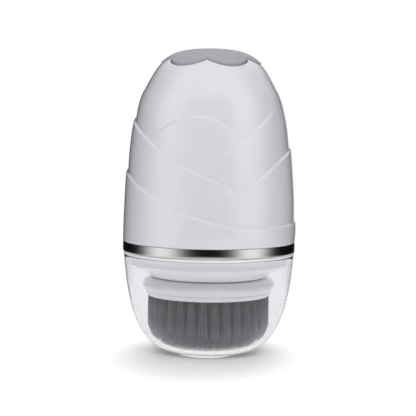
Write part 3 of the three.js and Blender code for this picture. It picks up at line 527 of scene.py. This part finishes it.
def skin_point(angle, along):
    """(r, z) of the outer skin. along runs from 0 at the seam to 1 at the petal-shaped rim."""
    length = along * rim_length(angle)
    r = np.interp(length, LENGTH_ALONG, HOUSING_LINE[:, 0])
    z = np.interp(length, LENGTH_ALONG, HOUSING_LINE[:, 1])
    tangent = np.gradient(HOUSING_LINE, LENGTH_ALONG, axis=0)
    dr = np.interp(length, LENGTH_ALONG, tangent[:, 0])
    dz = np.interp(length, LENGTH_ALONG, tangent[:, 1])
    azimuth = np.degrees(angle) + 90
    out = relief(azimuth, z)
    return r + dz * out, z - dr * out


def level_rows(points):
    """Rows that keep one radius and one height all the way round, from (r, z)."""
    return [(r * ONES, z * ONES) for r, z in points]


def housing_rows():
    """The shell's rows of (r, z) before its skin, and those after it: rim, pocket and inside."""
    inside = BODY_RADIUS - WALL
    before = level_rows([(inside, SEAM_Z), (BODY_RADIUS - 0.12, SEAM_Z),
                         (BODY_RADIUS - 0.03, SEAM_Z + 0.04)])
    after = []
    rim_r, rim_z = skin_point(ANGLE, ONES)
    for turn in np.radians((22.5, 45, 67.5, 90)):
        inward, down = RIM_FILLET * math.sin(turn), RIM_FILLET * (1 - math.cos(turn))
        after.append((rim_r - inward, rim_z - down))
    wall_r = petal_radius(ANGLE) + POCKET_GAP
    floor_z = button_z(wall_r) - POCKET_DEPTH
    after += [(wall_r, floor_z + 0.2), (wall_r - 0.2, floor_z)]
    for share in (0.8, 0.6, 0.4):
        r = STEM_HOLE_RADIUS + (wall_r - STEM_HOLE_RADIUS) * share
        after.append((r, button_z(r) - POCKET_DEPTH))
    after += level_rows([
        (STEM_HOLE_RADIUS, button_z(STEM_HOLE_RADIUS) - POCKET_DEPTH),
        (STEM_HOLE_RADIUS, SEAL_SEAT_Z),
        (SEAL_SEAT_RADIUS, SEAL_SEAT_Z),
        (SEAL_SEAT_RADIUS, BOSS_LOW_Z),
        (BOSS_RADIUS, BOSS_LOW_Z),
        (BOSS_RADIUS, BOSS_TOP_Z),
    ])
    foot, pull = (inside, SEAM_Z), (inside, SEAM_Z + SIDE_PULL)
    side = bezier(foot, pull, (25.1, 84.7), INNER_SHOULDER, 9)
    dome = bezier(INNER_SHOULDER, (18.3, 97), (13.5, 101.6), (BOSS_RADIUS, INNER_TOP_Z), 7)
    return before, after + level_rows(np.concatenate([side, dome[1:-1]])[:0:-1])


def refine_near_lips(work, skin):
    """Splits the skin's faces again and again where a lip passes, so that it has a crisp edge.

    The edges along the skin's border stay whole, so that no face beside the skin is split.
    """
    for reach in LIP_REACHES:
        faces = [f for f in work.faces if f[skin]]
        centres = np.array([f.calc_center_median() for f in faces])
        turn = np.arctan2(centres[:, 1], centres[:, 0])
        z = np.interp(centres[:, 2] * rim_length(turn), LENGTH_ALONG, HOUSING_LINE[:, 1])
        near = near_lip(np.degrees(turn) + 90, z, reach)
        edges = {e for f, hit in zip(faces, near) if hit for e in f.edges}
        edges = {e for e in edges if all(f[skin] for f in e.link_faces)}
        bmesh.ops.subdivide_edges(work, edges=list(edges), cuts=1, use_grid_fill=True)


def make_housing():
    """The glossy shell: a fine skin with crisp sheath lips, closed over a plain inside.

    The skin is split as a cylinder of radius 1 and height 1, and shaped afterwards.
    """
    before, after = housing_rows()
    cylinder = level_rows([(1, along) for along in np.linspace(SKIN_START, 1, SKIN_ROWS)])
    work = bmesh.new()
    skin = work.faces.layers.int.new("skin")
    grid = [[work.verts.new(p) for p in zip(r * COS, r * SIN, z)]
            for r, z in before + cylinder + after]
    for i, row in enumerate(grid):
        following = grid[(i + 1) % len(grid)]
        for j in range(COLUMNS):
            k = (j + 1) % COLUMNS
            face = work.faces.new((row[j], row[k], following[k], following[j]))
            face[skin] = int(SEAM_ROWS <= i < SEAM_ROWS + SKIN_ROWS - 1)
    refine_near_lips(work, skin)
    moved = [v for v in work.verts if v.co.z < SEAM_Z / 2]  # all the rest is at the seam or above
    co = np.array([v.co for v in moved])
    turn = np.arctan2(co[:, 1], co[:, 0])
    r, z = skin_point(turn, co[:, 2])
    for v, x, y, height in zip(moved, r * np.cos(turn), r * np.sin(turn), z):
        v.co = (x, y, height)
    bmesh.ops.triangulate(work, faces=[f for f in work.faces if len(f.verts) > 4])
    bmesh.ops.recalc_face_normals(work, faces=work.faces)
    bmesh.ops.scale(work, vec=(MM, MM, MM), verts=work.verts)
    mesh = bpy.data.meshes.new("housing_shell")
    work.to_mesh(mesh)
    work.free()
    mesh.attributes.remove(mesh.attributes["skin"])
    obj = add_object("housing_shell", mesh)
    cut_port(obj)
    obj.data.shade_smooth()
    obj.data.set_sharp_from_angle(angle=math.radians(42))
    return place(obj, "handle", "housing_plastic", GLOSS, "upper_housing")


# ---------- Charging port ----------
RECESS_HALF_WIDTH, RECESS_HALF_HEIGHT, RECESS_DEPTH = 6.6, 3.4, 1.3
RECESS_RIM_Y = BODY_RADIUS - 0.2
SLOT_HALF_WIDTH, SLOT_HALF_HEIGHT, SLOT_DEPTH = 4.9, 2.1, 6.0
TONGUE_HALF_WIDTH, TONGUE_HALF_HEIGHT = 3.9, 1.2
FLAP_SINK = 0.12  # how far the flap lies below the housing's surface
FLAP_POINTS = 144


def stadium(half_width, half_height, count=96):
    """A round-ended bar's outline as (x, z) offsets from its centre."""
    straight = half_width - half_height
    turn = np.linspace(0, 2 * math.pi, count, endpoint=False)
    x = half_height * np.cos(turn) + np.where(np.cos(turn) >= 0, straight, -straight)
    return np.stack([x, half_height * np.sin(turn)], 1)


def bar_rings(levels):
    """Verts and faces of a bar along Y, from levels (outline, y) with one y or one per point."""
    count = len(levels[0][0])
    verts = []
    for outline, y in levels:
        depth = np.broadcast_to(y, count)
        verts.extend(zip(outline[:, 0], depth, outline[:, 1] + PORT_Z))
    faces = ring_faces(len(levels), count)
    faces.append(tuple(range(count))[::-1])
    faces.append(tuple(range(len(verts) - count, len(verts))))
    return verts, faces


def cut_port(housing):
    """Cuts the plug's recess and the socket's slot into the rear of the shell."""
    cutters = []
    for half_width, half_height, y0 in (
        (RECESS_HALF_WIDTH, RECESS_HALF_HEIGHT, RECESS_RIM_Y - RECESS_DEPTH),
        (SLOT_HALF_WIDTH, SLOT_HALF_HEIGHT, BODY_RADIUS - SLOT_DEPTH),
    ):
        outline = stadium(half_width, half_height)
        cutter = mesh_object("cutter", *bar_rings([(outline, y0), (outline, BODY_RADIUS + 2)]))
        cut = housing.modifiers.new("port", "BOOLEAN")
        cut.operation, cut.solver, cut.object = "DIFFERENCE", "EXACT", cutter
        cutters.append(cutter)
    graph = bpy.context.evaluated_depsgraph_get()
    housing.data = bpy.data.meshes.new_from_object(housing.evaluated_get(graph))
    housing.modifiers.clear()
    for cutter in cutters:
        bpy.data.objects.remove(cutter)


def housing_surface_y(x, z):
    """Y of the plain housing surface at the rear, at an offset x and a height z."""
    r = np.interp(z, HOUSING_LINE[:, 1], HOUSING_LINE[:, 0])
    return np.sqrt(r * r - x * x)


def make_port_plug():
    """A soft flap that follows the housing, with a nail notch at its upper edge, and a tongue."""
    outline = stadium(RECESS_HALF_WIDTH - POCKET_GAP, RECESS_HALF_HEIGHT - POCKET_GAP, FLAP_POINTS)
    floor_y = BODY_RADIUS - RECESS_DEPTH + 0.1

    def face_y(points, sink):
        x, up = points.T
        notch = 0.7 * np.exp(-((x / 1.5) ** 2) - ((up - 3.3) / 0.9) ** 2)
        return housing_surface_y(x, up + PORT_Z) - FLAP_SINK - sink - notch

    levels = [(outline * 0.02, floor_y), (outline * 0.5, floor_y), (outline * 0.96, floor_y)]
    levels.append((outline, floor_y + 0.15))
    for scale, sink in ((1.0, 0.25), (0.992, 0.1), (0.975, 0.03), (0.955, 0.0)):
        levels.append((outline * scale, face_y(outline * scale, sink)))
    for scale in (0.85, 0.7, 0.5, 0.25, 0.02):
        levels.append((outline * scale, face_y(outline * scale, 0)))
    verts, faces = bar_rings(levels)
    tongue = stadium(TONGUE_HALF_WIDTH, TONGUE_HALF_HEIGHT, FLAP_POINTS)
    more_verts, more_faces = bar_rings([(tongue * 0.9, PLUG_LOW.y), (tongue, PLUG_LOW.y + 0.15),
                                        (tongue, floor_y - 0.02)])
    faces += [tuple(i + len(verts) for i in face) for face in more_faces]
    obj = mesh_object("port_flap", verts + more_verts, faces, 50)
    return place(obj, "plug", "plug_silicone", SILICONE, "port_plug")


# ---------- Button ----------
BUTTON_FILLET = 0.45
BUTTON_EDGE_DROP = 0.25  # how much further than its fillet the rolled edge falls
BUTTON_THICKNESS = 1.3
STEM_RADIUS = 3.0
GROOVE_RADIUS, GROOVE_LOW_Z, GROOVE_HIGH_Z = 2.4, 96.1, 96.9


def make_button():
    """The flower button: a domed cap with a rolled edge, on a stem with a groove for its clip."""
    edge = petal_radius(ANGLE)
    rows = []
    for share in np.linspace(0, 1, 30)[1:]:
        r = (edge - BUTTON_FILLET) * share
        rows.append((r, button_z(r)))
    top_r, top_z = rows[-1]
    for t in (0.2, 0.4, 0.6, 0.8, 1.0):
        turn = t * math.pi / 2
        drop = BUTTON_FILLET * (1 - math.cos(turn)) + BUTTON_EDGE_DROP * t
        rows.append((top_r + BUTTON_FILLET * math.sin(turn), top_z - drop))
    rows.append((edge, button_z(edge) - BUTTON_THICKNESS))
    for share in np.linspace(0.96, 0.12, 14):
        r = STEM_RADIUS + (edge - STEM_RADIUS) * share
        rows.append((r, button_z(r) - BUTTON_THICKNESS))
    rows += level_rows([
        (STEM_RADIUS, button_z(STEM_RADIUS + 1) - BUTTON_THICKNESS),
        (STEM_RADIUS, GROOVE_HIGH_Z),
        (GROOVE_RADIUS, GROOVE_HIGH_Z),
        (GROOVE_RADIUS, GROOVE_LOW_Z),
        (STEM_RADIUS, GROOVE_LOW_Z),
        (STEM_RADIUS, BUTTON_LOW.z + 0.3),
        (STEM_RADIUS - 0.3, BUTTON_LOW.z),
    ])
    verts = [p for r, z in rows for p in zip(r * COS, r * SIN, z)]
    verts += [(0, 0, TOP_Z), (0, 0, BUTTON_LOW.z)]
    faces = ring_faces(len(rows), COLUMNS) + fan_faces(len(rows), COLUMNS)
    obj = mesh_object("flower_button", verts, faces, 50)
    return place(obj, "button", "button_satin", SATIN, "power_button")


# ---------- Trim ring, lower body and neck ----------
RING_INSIDE = 29.2


def make_trim_ring():
    """The chrome band between the housing and the lower body."""
    outline = rounded([
        (RING_INSIDE, RING_LOW.z, 0),
        (BODY_RADIUS, RING_LOW.z, 0.1),
        (BODY_RADIUS, RING_HIGH.z, 0.1),
        (RING_INSIDE, RING_HIGH.z, 0),
    ])
    return place(turned("trim_band", outline), "handle", "trim_chrome", CHROME, "trim_ring")


SPIGOT_RADIUS = 27.8
LIP_RADIUS = LOWER_HIGH.x
LIP_LOW_Z = COVER_HIGH.z + 0.12
RING_SEAT_RADIUS, RING_SEAT_Z = 29.0, RING_LOW.z - 0.1
O_RING_RADIUS, O_RING_LOW_Z, O_RING_HIGH_Z = 26.6, 41.7, 43.3
CHAMBER_RADIUS, CHAMBER_Z = 25.6, 33.0
SEAL_RADIUS, SEAL_TOP_Z = 6.75, 29.6
BEARING_RADIUS = 5.15


def make_lower_body():
    """The white lower body: lip, cap spigot, cone and neck outside, and the gear chamber inside."""
    outline = rounded([
        (SEAL_RADIUS, LOWER_LOW.z, 0.2),
        (20.5, LOWER_LOW.z, 0.5),
        (21.9, 28.5, 0.6),
        (SPIGOT_RADIUS, 31.4, 0.7),
        (SPIGOT_RADIUS, LIP_LOW_Z, 0.2),
        (LIP_RADIUS, LIP_LOW_Z, 0.35),
        (LIP_RADIUS, RING_SEAT_Z, 0.3),
        (RING_SEAT_RADIUS, RING_SEAT_Z, 0.1),
        (RING_SEAT_RADIUS, SEAM_Z - 0.1, 0.1),
        (SPIGOT_RADIUS, SEAM_Z - 0.1, 0.1),
        (SPIGOT_RADIUS, O_RING_LOW_Z - 0.1, 0.1),
        (O_RING_RADIUS, O_RING_LOW_Z + 0.1, 0.2),
        (O_RING_RADIUS, O_RING_HIGH_Z - 0.1, 0.2),
        (SPIGOT_RADIUS, O_RING_HIGH_Z + 0.1, 0.1),
        (SPIGOT_RADIUS, LOWER_HIGH.z - 0.8, 0.3),
        (SPIGOT_RADIUS - 0.5, LOWER_HIGH.z, 0.2),
        (CHAMBER_RADIUS, LOWER_HIGH.z, 0.2),
        (CHAMBER_RADIUS, CHAMBER_Z, 0.5),
        (BEARING_RADIUS, CHAMBER_Z, 0.2),
        (BEARING_RADIUS, SEAL_TOP_Z, 0.1),
        (SEAL_RADIUS, SEAL_TOP_Z, 0.1),
    ])
    return place(turned("lower_shell", outline), "handle", "housing_plastic", WHITE, "lower_body")


# ---------- Clear cap ----------
COVER_WALL = 1.5
COVER_FOOT = 9.8  # radius of the flat foot
COVER_STEPS = 70


def cover_line(inset):
    """The cap's outline at a distance inside its outer surface."""
    rim, rim_z = COVER_HIGH.x, COVER_HIGH.z
    corners = (COVER_FOOT, 0), (COVER_FOOT + 8.2, 0), (rim - 2.0, rim_z - 31.9), (rim, rim_z)
    line = bezier(*corners, COVER_STEPS)
    along = np.gradient(line, axis=0)
    along /= np.linalg.norm(along, axis=1)[:, None]
    return line + inset * np.stack([-along[:, 1], along[:, 0]], 1)


def make_clear_cap():
    """The clear bowl over the head, with an even wall, a flat foot and a rounded rim."""
    outer = list(cover_line(0))
    inner = list(cover_line(COVER_WALL))
    rim_in, rim_out = inner[-1], outer[-1]
    rim = rounded([(*outer[-2], 0), (*rim_out, 0.3), (*rim_in, 0.3), (*inner[-2], 0)])[1:-1]
    outline = [(0, 0), *outer[:-1], *rim, *inner[:-1][::-1], (0, COVER_WALL)]
    return place(turned("clear_bowl", outline), "cap", "clear_plastic", CLEAR, "clear_cap")


# ---------- Brush head ----------
HUB_RADIUS = 5.8
HOLLOW_Z = 25.2  # roof of the hollow between the rim and the boss


def make_head():
    """The white disc that carries the tufts: a bulging rim, a boss for the hub and a tuft plate."""
    top, low = HEAD_HIGH.z, HEAD_LOW.z
    widest = HEAD_HIGH.x
    shell = rounded([
        (HUB_RADIUS, top, 0),
        (20.4, top, 1.2),
        (22.3, top - 0.8, 0.9),
        (widest - 0.03, top - 2.2, 1.2),
        (widest + 0.02, top - 3.2, 1.0),
        (22.35, low, 0.12),
        (20.6, low, 0),
        (20.4, HOLLOW_Z, 0),
        (8.6, HOLLOW_Z, 0),
        (8.4, low, 0),
        (HUB_RADIUS, low, 0),
    ], 7)
    place(turned("head_disc", shell), "brush", "housing_plastic", WHITE, "brush_head_shell")
    plate = rounded([
        (0, PLATE_LOW.z, 0),
        (PLATE_HIGH.x - 0.55, PLATE_LOW.z, 0.4),
        (PLATE_HIGH.x, PLATE_HIGH.z, 0),
        (0, PLATE_HIGH.z, 0),
    ])
    place(turned("tuft_disc", plate), "brush", "housing_plastic", WHITE, "tuft_plate")


# ---------- Bristles ----------
TUFT_TOP_Z = PLATE_LOW.z + 0.4  # the filaments are rooted in the plate
FIELD_RADIUS = 21.4
TRIM_LOW_Z = 2.3
TRIM_RISE = 7.2  # how much higher the trim cuts at the edge of the field than in its middle
TRIM_SQUARENESS = 9.5  # the higher, the flatter the middle and the steeper the edge

# Rows of tufts are (radius, number of tufts), and a tuft is (filaments, half width, half depth).
OUTER_ROW, OUTER_TUFT = (20.4, 32), (72, 0.85, 0.95)
MIDDLE_ROWS, MIDDLE_TUFT = ((3.9, 6), (7.8, 12), (11.7, 18), (15.6, 25)), (46, 1.55, 1.3)
CENTRE_TUFT = (46, 1.5, 1.5)

# A filament's cross sections: share of its length from the root, and share of its thickness.
SECTIONS = ((0.0, 1.0), (0.35, 1.0), (0.7, 0.95), (0.92, 0.75), (1.0, 0.3))
SIDES = 3
GOLDEN_ANGLE = 2.39996
TUFT_SHADES, FILAMENT_SHADES = (0.93, 1.07), (0.62, 1.38)
TIP_SCATTER, TRIM_SCATTER = 0.12, 0.14  # standard deviations, sideways and in length
ROOT_COLOUR, TIP_COLOUR = np.array((0.082, 0.077, 0.092)), np.array((0.25, 0.242, 0.27))
ROOT_PAINTED_SHADE, ROOT_SPAN = 0.6, 0.5  # painted shade: the colour is darkest at the root, over this share of the length
TIP_START, TIP_SHARE = 0.72, 0.8  # from here to the tip, the colour goes this far to the tip's


def trim_z(radius):
    """Height at which the domed trim cuts a filament that stands at a radius."""
    return TRIM_LOW_Z + TRIM_RISE * (radius / FIELD_RADIUS) ** TRIM_SQUARENESS


def tuft_points(count, across, deep):
    """Even points in an ellipse, by the sunflower rule, as (tangential, radial) offsets."""
    for i in range(count):
        distance, turn = math.sqrt((i + 0.5) / count), i * GOLDEN_ANGLE
        yield across * distance * math.cos(turn), deep * distance * math.sin(turn)


def filaments(name, tufts, thickness, flare, painted_shading, seed):
    """Tufts of separate tapered filaments.

    A tuft is (angle, radius, filaments, half width, half depth). flare is the range of how far a
    filament leans along the row, as a multiple of its distance from the middle of its tuft.
    dye scales the colour of the root: above 1 it is painted light, below 1 painted shade.
    """
    dice = random.Random(seed)
    verts, faces, shades = [], [], []
    for angle, radius, count, across, deep in tufts:
        out = Vector((math.cos(angle), math.sin(angle), 0))
        side = Vector((-out.y, out.x, 0))
        tuft_shade = dice.uniform(*TUFT_SHADES)
        for u, v in tuft_points(count, across, deep):
            root = out * (radius + v) + side * u
            spread = dice.uniform(*flare)
            scatter = Vector((dice.gauss(0, TIP_SCATTER), dice.gauss(0, TIP_SCATTER), 0))
            lean = side * (u * spread) + scatter
            tip_radius = min((root + lean).length, FIELD_RADIUS)
            tip_z = trim_z(tip_radius) + dice.gauss(0, TRIM_SCATTER)
            shade = tuft_shade * dice.uniform(*FILAMENT_SHADES)
            turn = dice.uniform(0, 2 * math.pi)
            base = len(verts)
            for t, width in SECTIONS:
                centre = root + lean * t
                z = TUFT_TOP_Z + (tip_z - TUFT_TOP_Z) * t
                w = thickness / 2 * width
                for corner in range(SIDES):
                    a = turn + corner * 2 * math.pi / SIDES
                    verts.append((centre.x + w * math.cos(a), centre.y + w * math.sin(a), z))
                    shades.append((shade, t))
            rings = ring_faces(len(SECTIONS), SIDES)
            faces += [tuple(base + i for i in face) for face in rings]
            end = len(verts) - SIDES
            faces += [(base + 2, base + 1, base), (end, end + 1, end + 2)]
    obj = mesh_object(name, verts, faces, 180)
    shade, t = np.array(shades).T[:, :, None]
    # painted shade: each filament is darker towards its root
    deep = ROOT_PAINTED_SHADE + (1 - ROOT_PAINTED_SHADE) * smoothstep(t / ROOT_SPAN)
    pale = smoothstep((t - TIP_START) / (1 - TIP_START)) * TIP_SHARE
    # dye lightens or darkens the roots of a whole row: painted light and painted shade
    values = (painted_shading * ROOT_COLOUR * deep * (1 - pale) + TIP_COLOUR * pale) * shade
    rgba = np.concatenate([values, np.ones((len(values), 1))], 1)
    # the colour carries the dye, with painted shade at the roots and painted light and shade by row
    colour = obj.data.color_attributes.new("shade", "FLOAT_COLOR", "POINT")
    colour.data.foreach_set("color", rgba.astype(np.float32).ravel())
    return place(obj, "brush", "bristle", BRISTLE)


def tuft_row(radius, tufts, tuft, first=0.0):
    """A row of equal tufts round the axis, from the angle of the first."""
    return [(2 * math.pi * i / tufts + first, radius, *tuft) for i in range(tufts)]


def make_bristles():
    """The outer row, paler with painted light, which can be told apart tuft by tuft, and the field
    behind it, dark with painted shade.
    """
    outer = tuft_row(*OUTER_ROW, OUTER_TUFT)
    # painted light: the outer row's roots are made paler
    obj = filaments("outer_tufts", outer, thickness=0.25, flare=(1.2, 1.5), painted_shading=1.4, seed=11)
    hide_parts("outer_bristles")
    middle = [(0.0, 0.0, *CENTRE_TUFT)]
    for radius, tufts in MIDDLE_ROWS:
        middle += tuft_row(radius, tufts, MIDDLE_TUFT, first=radius)
    # painted shade: the field behind the outer row is made much darker
    obj = filaments("middle_tufts", middle, thickness=0.22, flare=(0.3, 0.55), painted_shading=0.15, seed=12)
    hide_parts("middle_bristles")


# ---------- Studio ----------
CAMERA_AZIMUTH = math.radians(5.0)
CAMERA_DISTANCE = 0.6103
CAMERA_HEIGHT = 0.10655
AIM = Vector((-0.0005, 0, 0.05083))
CAMERA_ROLL = math.radians(0.70)
LENS = 150.1


def make_camera():
    """A long lens that looks slightly down on the brush, with the photo's small roll."""
    data = bpy.data.cameras.new("camera")
    data.lens = LENS
    camera = add_object("camera", data)
    spot = Vector((math.sin(CAMERA_AZIMUTH), -math.cos(CAMERA_AZIMUTH), 0)) * CAMERA_DISTANCE
    spot.z = CAMERA_HEIGHT
    look = (AIM - spot).to_track_quat("-Z", "Y").to_matrix().to_4x4()
    camera.matrix_world = Matrix.Translation(spot) @ look @ Matrix.Rotation(CAMERA_ROLL, 4, "Z")
    bpy.context.scene.camera = camera


# Soft boxes for the matt part of each surface: name, azimuth, elevation, width, height, brightness.
# Azimuth 0 is in front of the brush and 90 is on its +X side.
LAMPS = [
    ("front_key", 5, 57, 0.6, 0.4, 7.9),
    ("top_fill", 5, 82, 1.4, 1.4, 1.6),
    ("right_fill", 60, 45, 0.8, 0.8, 0.15),
]
LAMP_DISTANCE = 1.2
LAMP_AIM = Vector((0, 0, 0.05))


def make_lights():
    """Lamps that light the brush, and that neither the camera nor a mirror sees."""
    for name, azimuth, elevation, width, height, brightness in LAMPS:
        a, e = math.radians(azimuth), math.radians(elevation)
        light = bpy.data.lights.new(name, "AREA")
        light.shape, light.size, light.size_y = "RECTANGLE", width, height
        light.energy = brightness * math.pi * width * height
        lamp = add_object(name, light)
        toward = Vector((math.sin(a) * math.cos(e), -math.cos(a) * math.cos(e), math.sin(e)))
        lamp.location = LAMP_AIM + toward * LAMP_DISTANCE
        lamp.rotation_euler = toward.to_track_quat("Z", "Y").to_euler()
        lamp.visible_camera = lamp.visible_glossy = lamp.visible_transmission = False


# The room that glossy surfaces mirror. Its side boxes are (azimuth, half width, brightness).
# The rest are ramps (start, end, low, high) over the y or the z of a direction into the room.
SIDE_BOXES = ((-60.5, 28, 0.9), (64, 25, 0.94))
BOX_EDGE = 2.4  # the higher, the harder the boxes' edges
BOX_DIMMING = (0.45, 0.95, 1.0, 0.4)  # over z: they dim towards the ceiling
BACKDROP = (math.cos(math.radians(18)), math.cos(math.radians(6)), 0.0, 0.7)  # over y
BOX_BEHIND = (0.16, 0.42, 0.0, 0.6)  # over y times z
TABLE_EDGE = (-0.17, -0.26)  # over z
MIRRORED_TABLE = 0.72
MIRRORED_DARK = 0.005
ROOM_LIGHT = 0.05  # what the room gives to matt surfaces


def mirrored_room(nodes, links):
    """Brightness of the room as glossy surfaces mirror it, by direction.

    Two tall soft boxes stand left and right in front, fading at their edges. A backdrop stands
    straight behind, and a third box hangs above it. Below the horizon lies the pale table. The rest
    is dark.
    """
    where = nodes.new("ShaderNodeTexCoord")
    split = nodes.new("ShaderNodeSeparateXYZ")
    links.new(where.outputs["Generated"], split.inputs["Vector"])
    x, y, z = split.outputs
    azimuth = maths(nodes, links, "ARCTAN2", x, maths(nodes, links, "MULTIPLY", y, -1.0))
    total = MIRRORED_DARK
    for centre, spread, peak in SIDE_BOXES:
        off = maths(nodes, links, "SUBTRACT", azimuth, math.radians(centre))
        off = maths(nodes, links, "DIVIDE", off, math.radians(spread))
        steep = maths(nodes, links, "POWER", maths(nodes, links, "ABSOLUTE", off), BOX_EDGE)
        bell = maths(nodes, links, "EXPONENT", maths(nodes, links, "MULTIPLY", steep, -1.0))
        total = maths(nodes, links, "ADD", maths(nodes, links, "MULTIPLY", bell, peak), total)
    total = maths(nodes, links, "MULTIPLY", total, ramp(nodes, links, z, *BOX_DIMMING))
    total = maths(nodes, links, "ADD", total, ramp(nodes, links, y, *BACKDROP))
    behind = maths(nodes, links, "MULTIPLY", y, z)
    total = maths(nodes, links, "ADD", total, ramp(nodes, links, behind, *BOX_BEHIND))
    return blend(nodes, links, ramp(nodes, links, z, *TABLE_EDGE), total, MIRRORED_TABLE)


def mirrored(nodes, links, ray):
    """1 for a ray that a surface has just mirrored, 0 for one that came through clear plastic."""
    kept = maths(nodes, links, "SUBTRACT", 1.0, ray["Is Transmission Ray"])
    return maths(nodes, links, "MULTIPLY", ray["Is Glossy Ray"], kept)


def make_world():
    """White behind the brush and through its cap, the room in reflections, and else a dim fill."""
    world = bpy.data.worlds.new("studio")
    bpy.context.scene.world = world
    world.use_nodes = True
    nodes, links = world.node_tree.nodes, world.node_tree.links
    ray = nodes.new("ShaderNodeLightPath").outputs
    room = mirrored_room(nodes, links)
    unseen = blend(nodes, links, mirrored(nodes, links, ray), ROOM_LIGHT, room)
    seen = maths(nodes, links, "MAXIMUM", ray["Is Camera Ray"], ray["Is Transmission Ray"])
    direct = maths(nodes, links, "LESS_THAN", ray["Diffuse Depth"], 0.5)
    seen = maths(nodes, links, "MULTIPLY", seen, direct)
    strength = blend(nodes, links, seen, unseen, 1.0)
    links.new(strength, nodes["Background"].inputs["Strength"])
    nodes["Background"].inputs["Color"].default_value = (1, 1, 1, 1)


# Pools of light painted on the table as glow, each over the last, in metres: brightness, distance
# in front of the brush, and the distances from that middle at which the pool starts and is full.
# Round the brush they leave the darker table bare, as a painted shadow.
POOLS = [
    (0.8, 0.0, 0.017, 0.014),  # under the foot: painted light, a glowing pool in place of light gathered by the clear cap
    (1.2, 0.018, 0.018, 0.068),  # round the shadow of the brush, painted by the bare darker table and deepened by the lamps
    (1.02, 0.0, 0.12, 0.30),  # white, from there to the horizon
]
POOL_SQUEEZE = 1.4  # the pools are this much longer, front to back, than they are wide
# painted shadow: the table's darker colour, left bare only round the brush
PAINTED_SHADOW_ALBEDO = 0.66
# painted light: a faint glow within the painted shadow
TABLE_GLOW = 0.2
FLOOR_RADIUS, FLOOR_Z = 2000, -0.05  # in millimetres


def floor_material():
    """A white table with painted glow and a painted shadow round the brush, that fades to a white
    horizon, and that mirroring surfaces look past.
    """
    material, nodes, links = shader("floor_white")
    bsdf = nodes["Principled BSDF"]
    bsdf.inputs["Base Color"].default_value = (PAINTED_SHADOW_ALBEDO, PAINTED_SHADOW_ALBEDO, PAINTED_SHADOW_ALBEDO, 1)
    bsdf.inputs["Roughness"].default_value = 0.9
    bsdf.inputs["Specular IOR Level"].default_value = 0.0
    bsdf.inputs["Emission Color"].default_value = (1, 1, 1, 1)
    bsdf.inputs["Emission Strength"].default_value = TABLE_GLOW
    where = nodes.new("ShaderNodeTexCoord")
    squeezed = nodes.new("ShaderNodeVectorMath")
    squeezed.operation = "MULTIPLY"
    links.new(where.outputs["Object"], squeezed.inputs[0])
    squeezed.inputs[1].default_value = (POOL_SQUEEZE, 1, 1)
    look = bsdf.outputs["BSDF"]
    for strength, forward, start, end in POOLS:
        away = nodes.new("ShaderNodeVectorMath")
        away.operation = "DISTANCE"
        links.new(squeezed.outputs["Vector"], away.inputs[0])
        away.inputs[1].default_value = (0, -forward, 0)
        glow = nodes.new("ShaderNodeEmission")
        glow.inputs["Strength"].default_value = strength
        fade = ramp(nodes, links, away.outputs["Value"], start, end)
        look = blend_shaders(nodes, links, fade, look, glow.outputs["Emission"])
    through = nodes.new("ShaderNodeBsdfTransparent")
    ray = nodes.new("ShaderNodeLightPath").outputs
    direct = maths(nodes, links, "LESS_THAN", ray["Diffuse Depth"], 0.5)
    past = maths(nodes, links, "MULTIPLY", ray["Is Glossy Ray"], direct)
    look = blend_shaders(nodes, links, past, look, through.outputs["BSDF"])
    links.new(look, nodes["Material Output"].inputs["Surface"])
    return material


def make_floor():
    """The table, as one large disc just under the foot of the cap."""
    columns = 96
    angle = np.linspace(0, 2 * math.pi, columns, endpoint=False)
    verts = [(FLOOR_RADIUS * math.cos(a), FLOOR_RADIUS * math.sin(a), FLOOR_Z) for a in angle]
    floor = mesh_object("floor", verts, [tuple(range(columns))])
    floor.data.materials.append(floor_material())


finish_cad_nodes()
make_housing()
make_port_plug()
make_button()
make_trim_ring()
make_lower_body()
make_clear_cap()
make_head()
make_bristles()
make_camera()
make_lights()
make_world()
make_floor()
bpy.context.scene.view_settings.view_transform = "Standard"
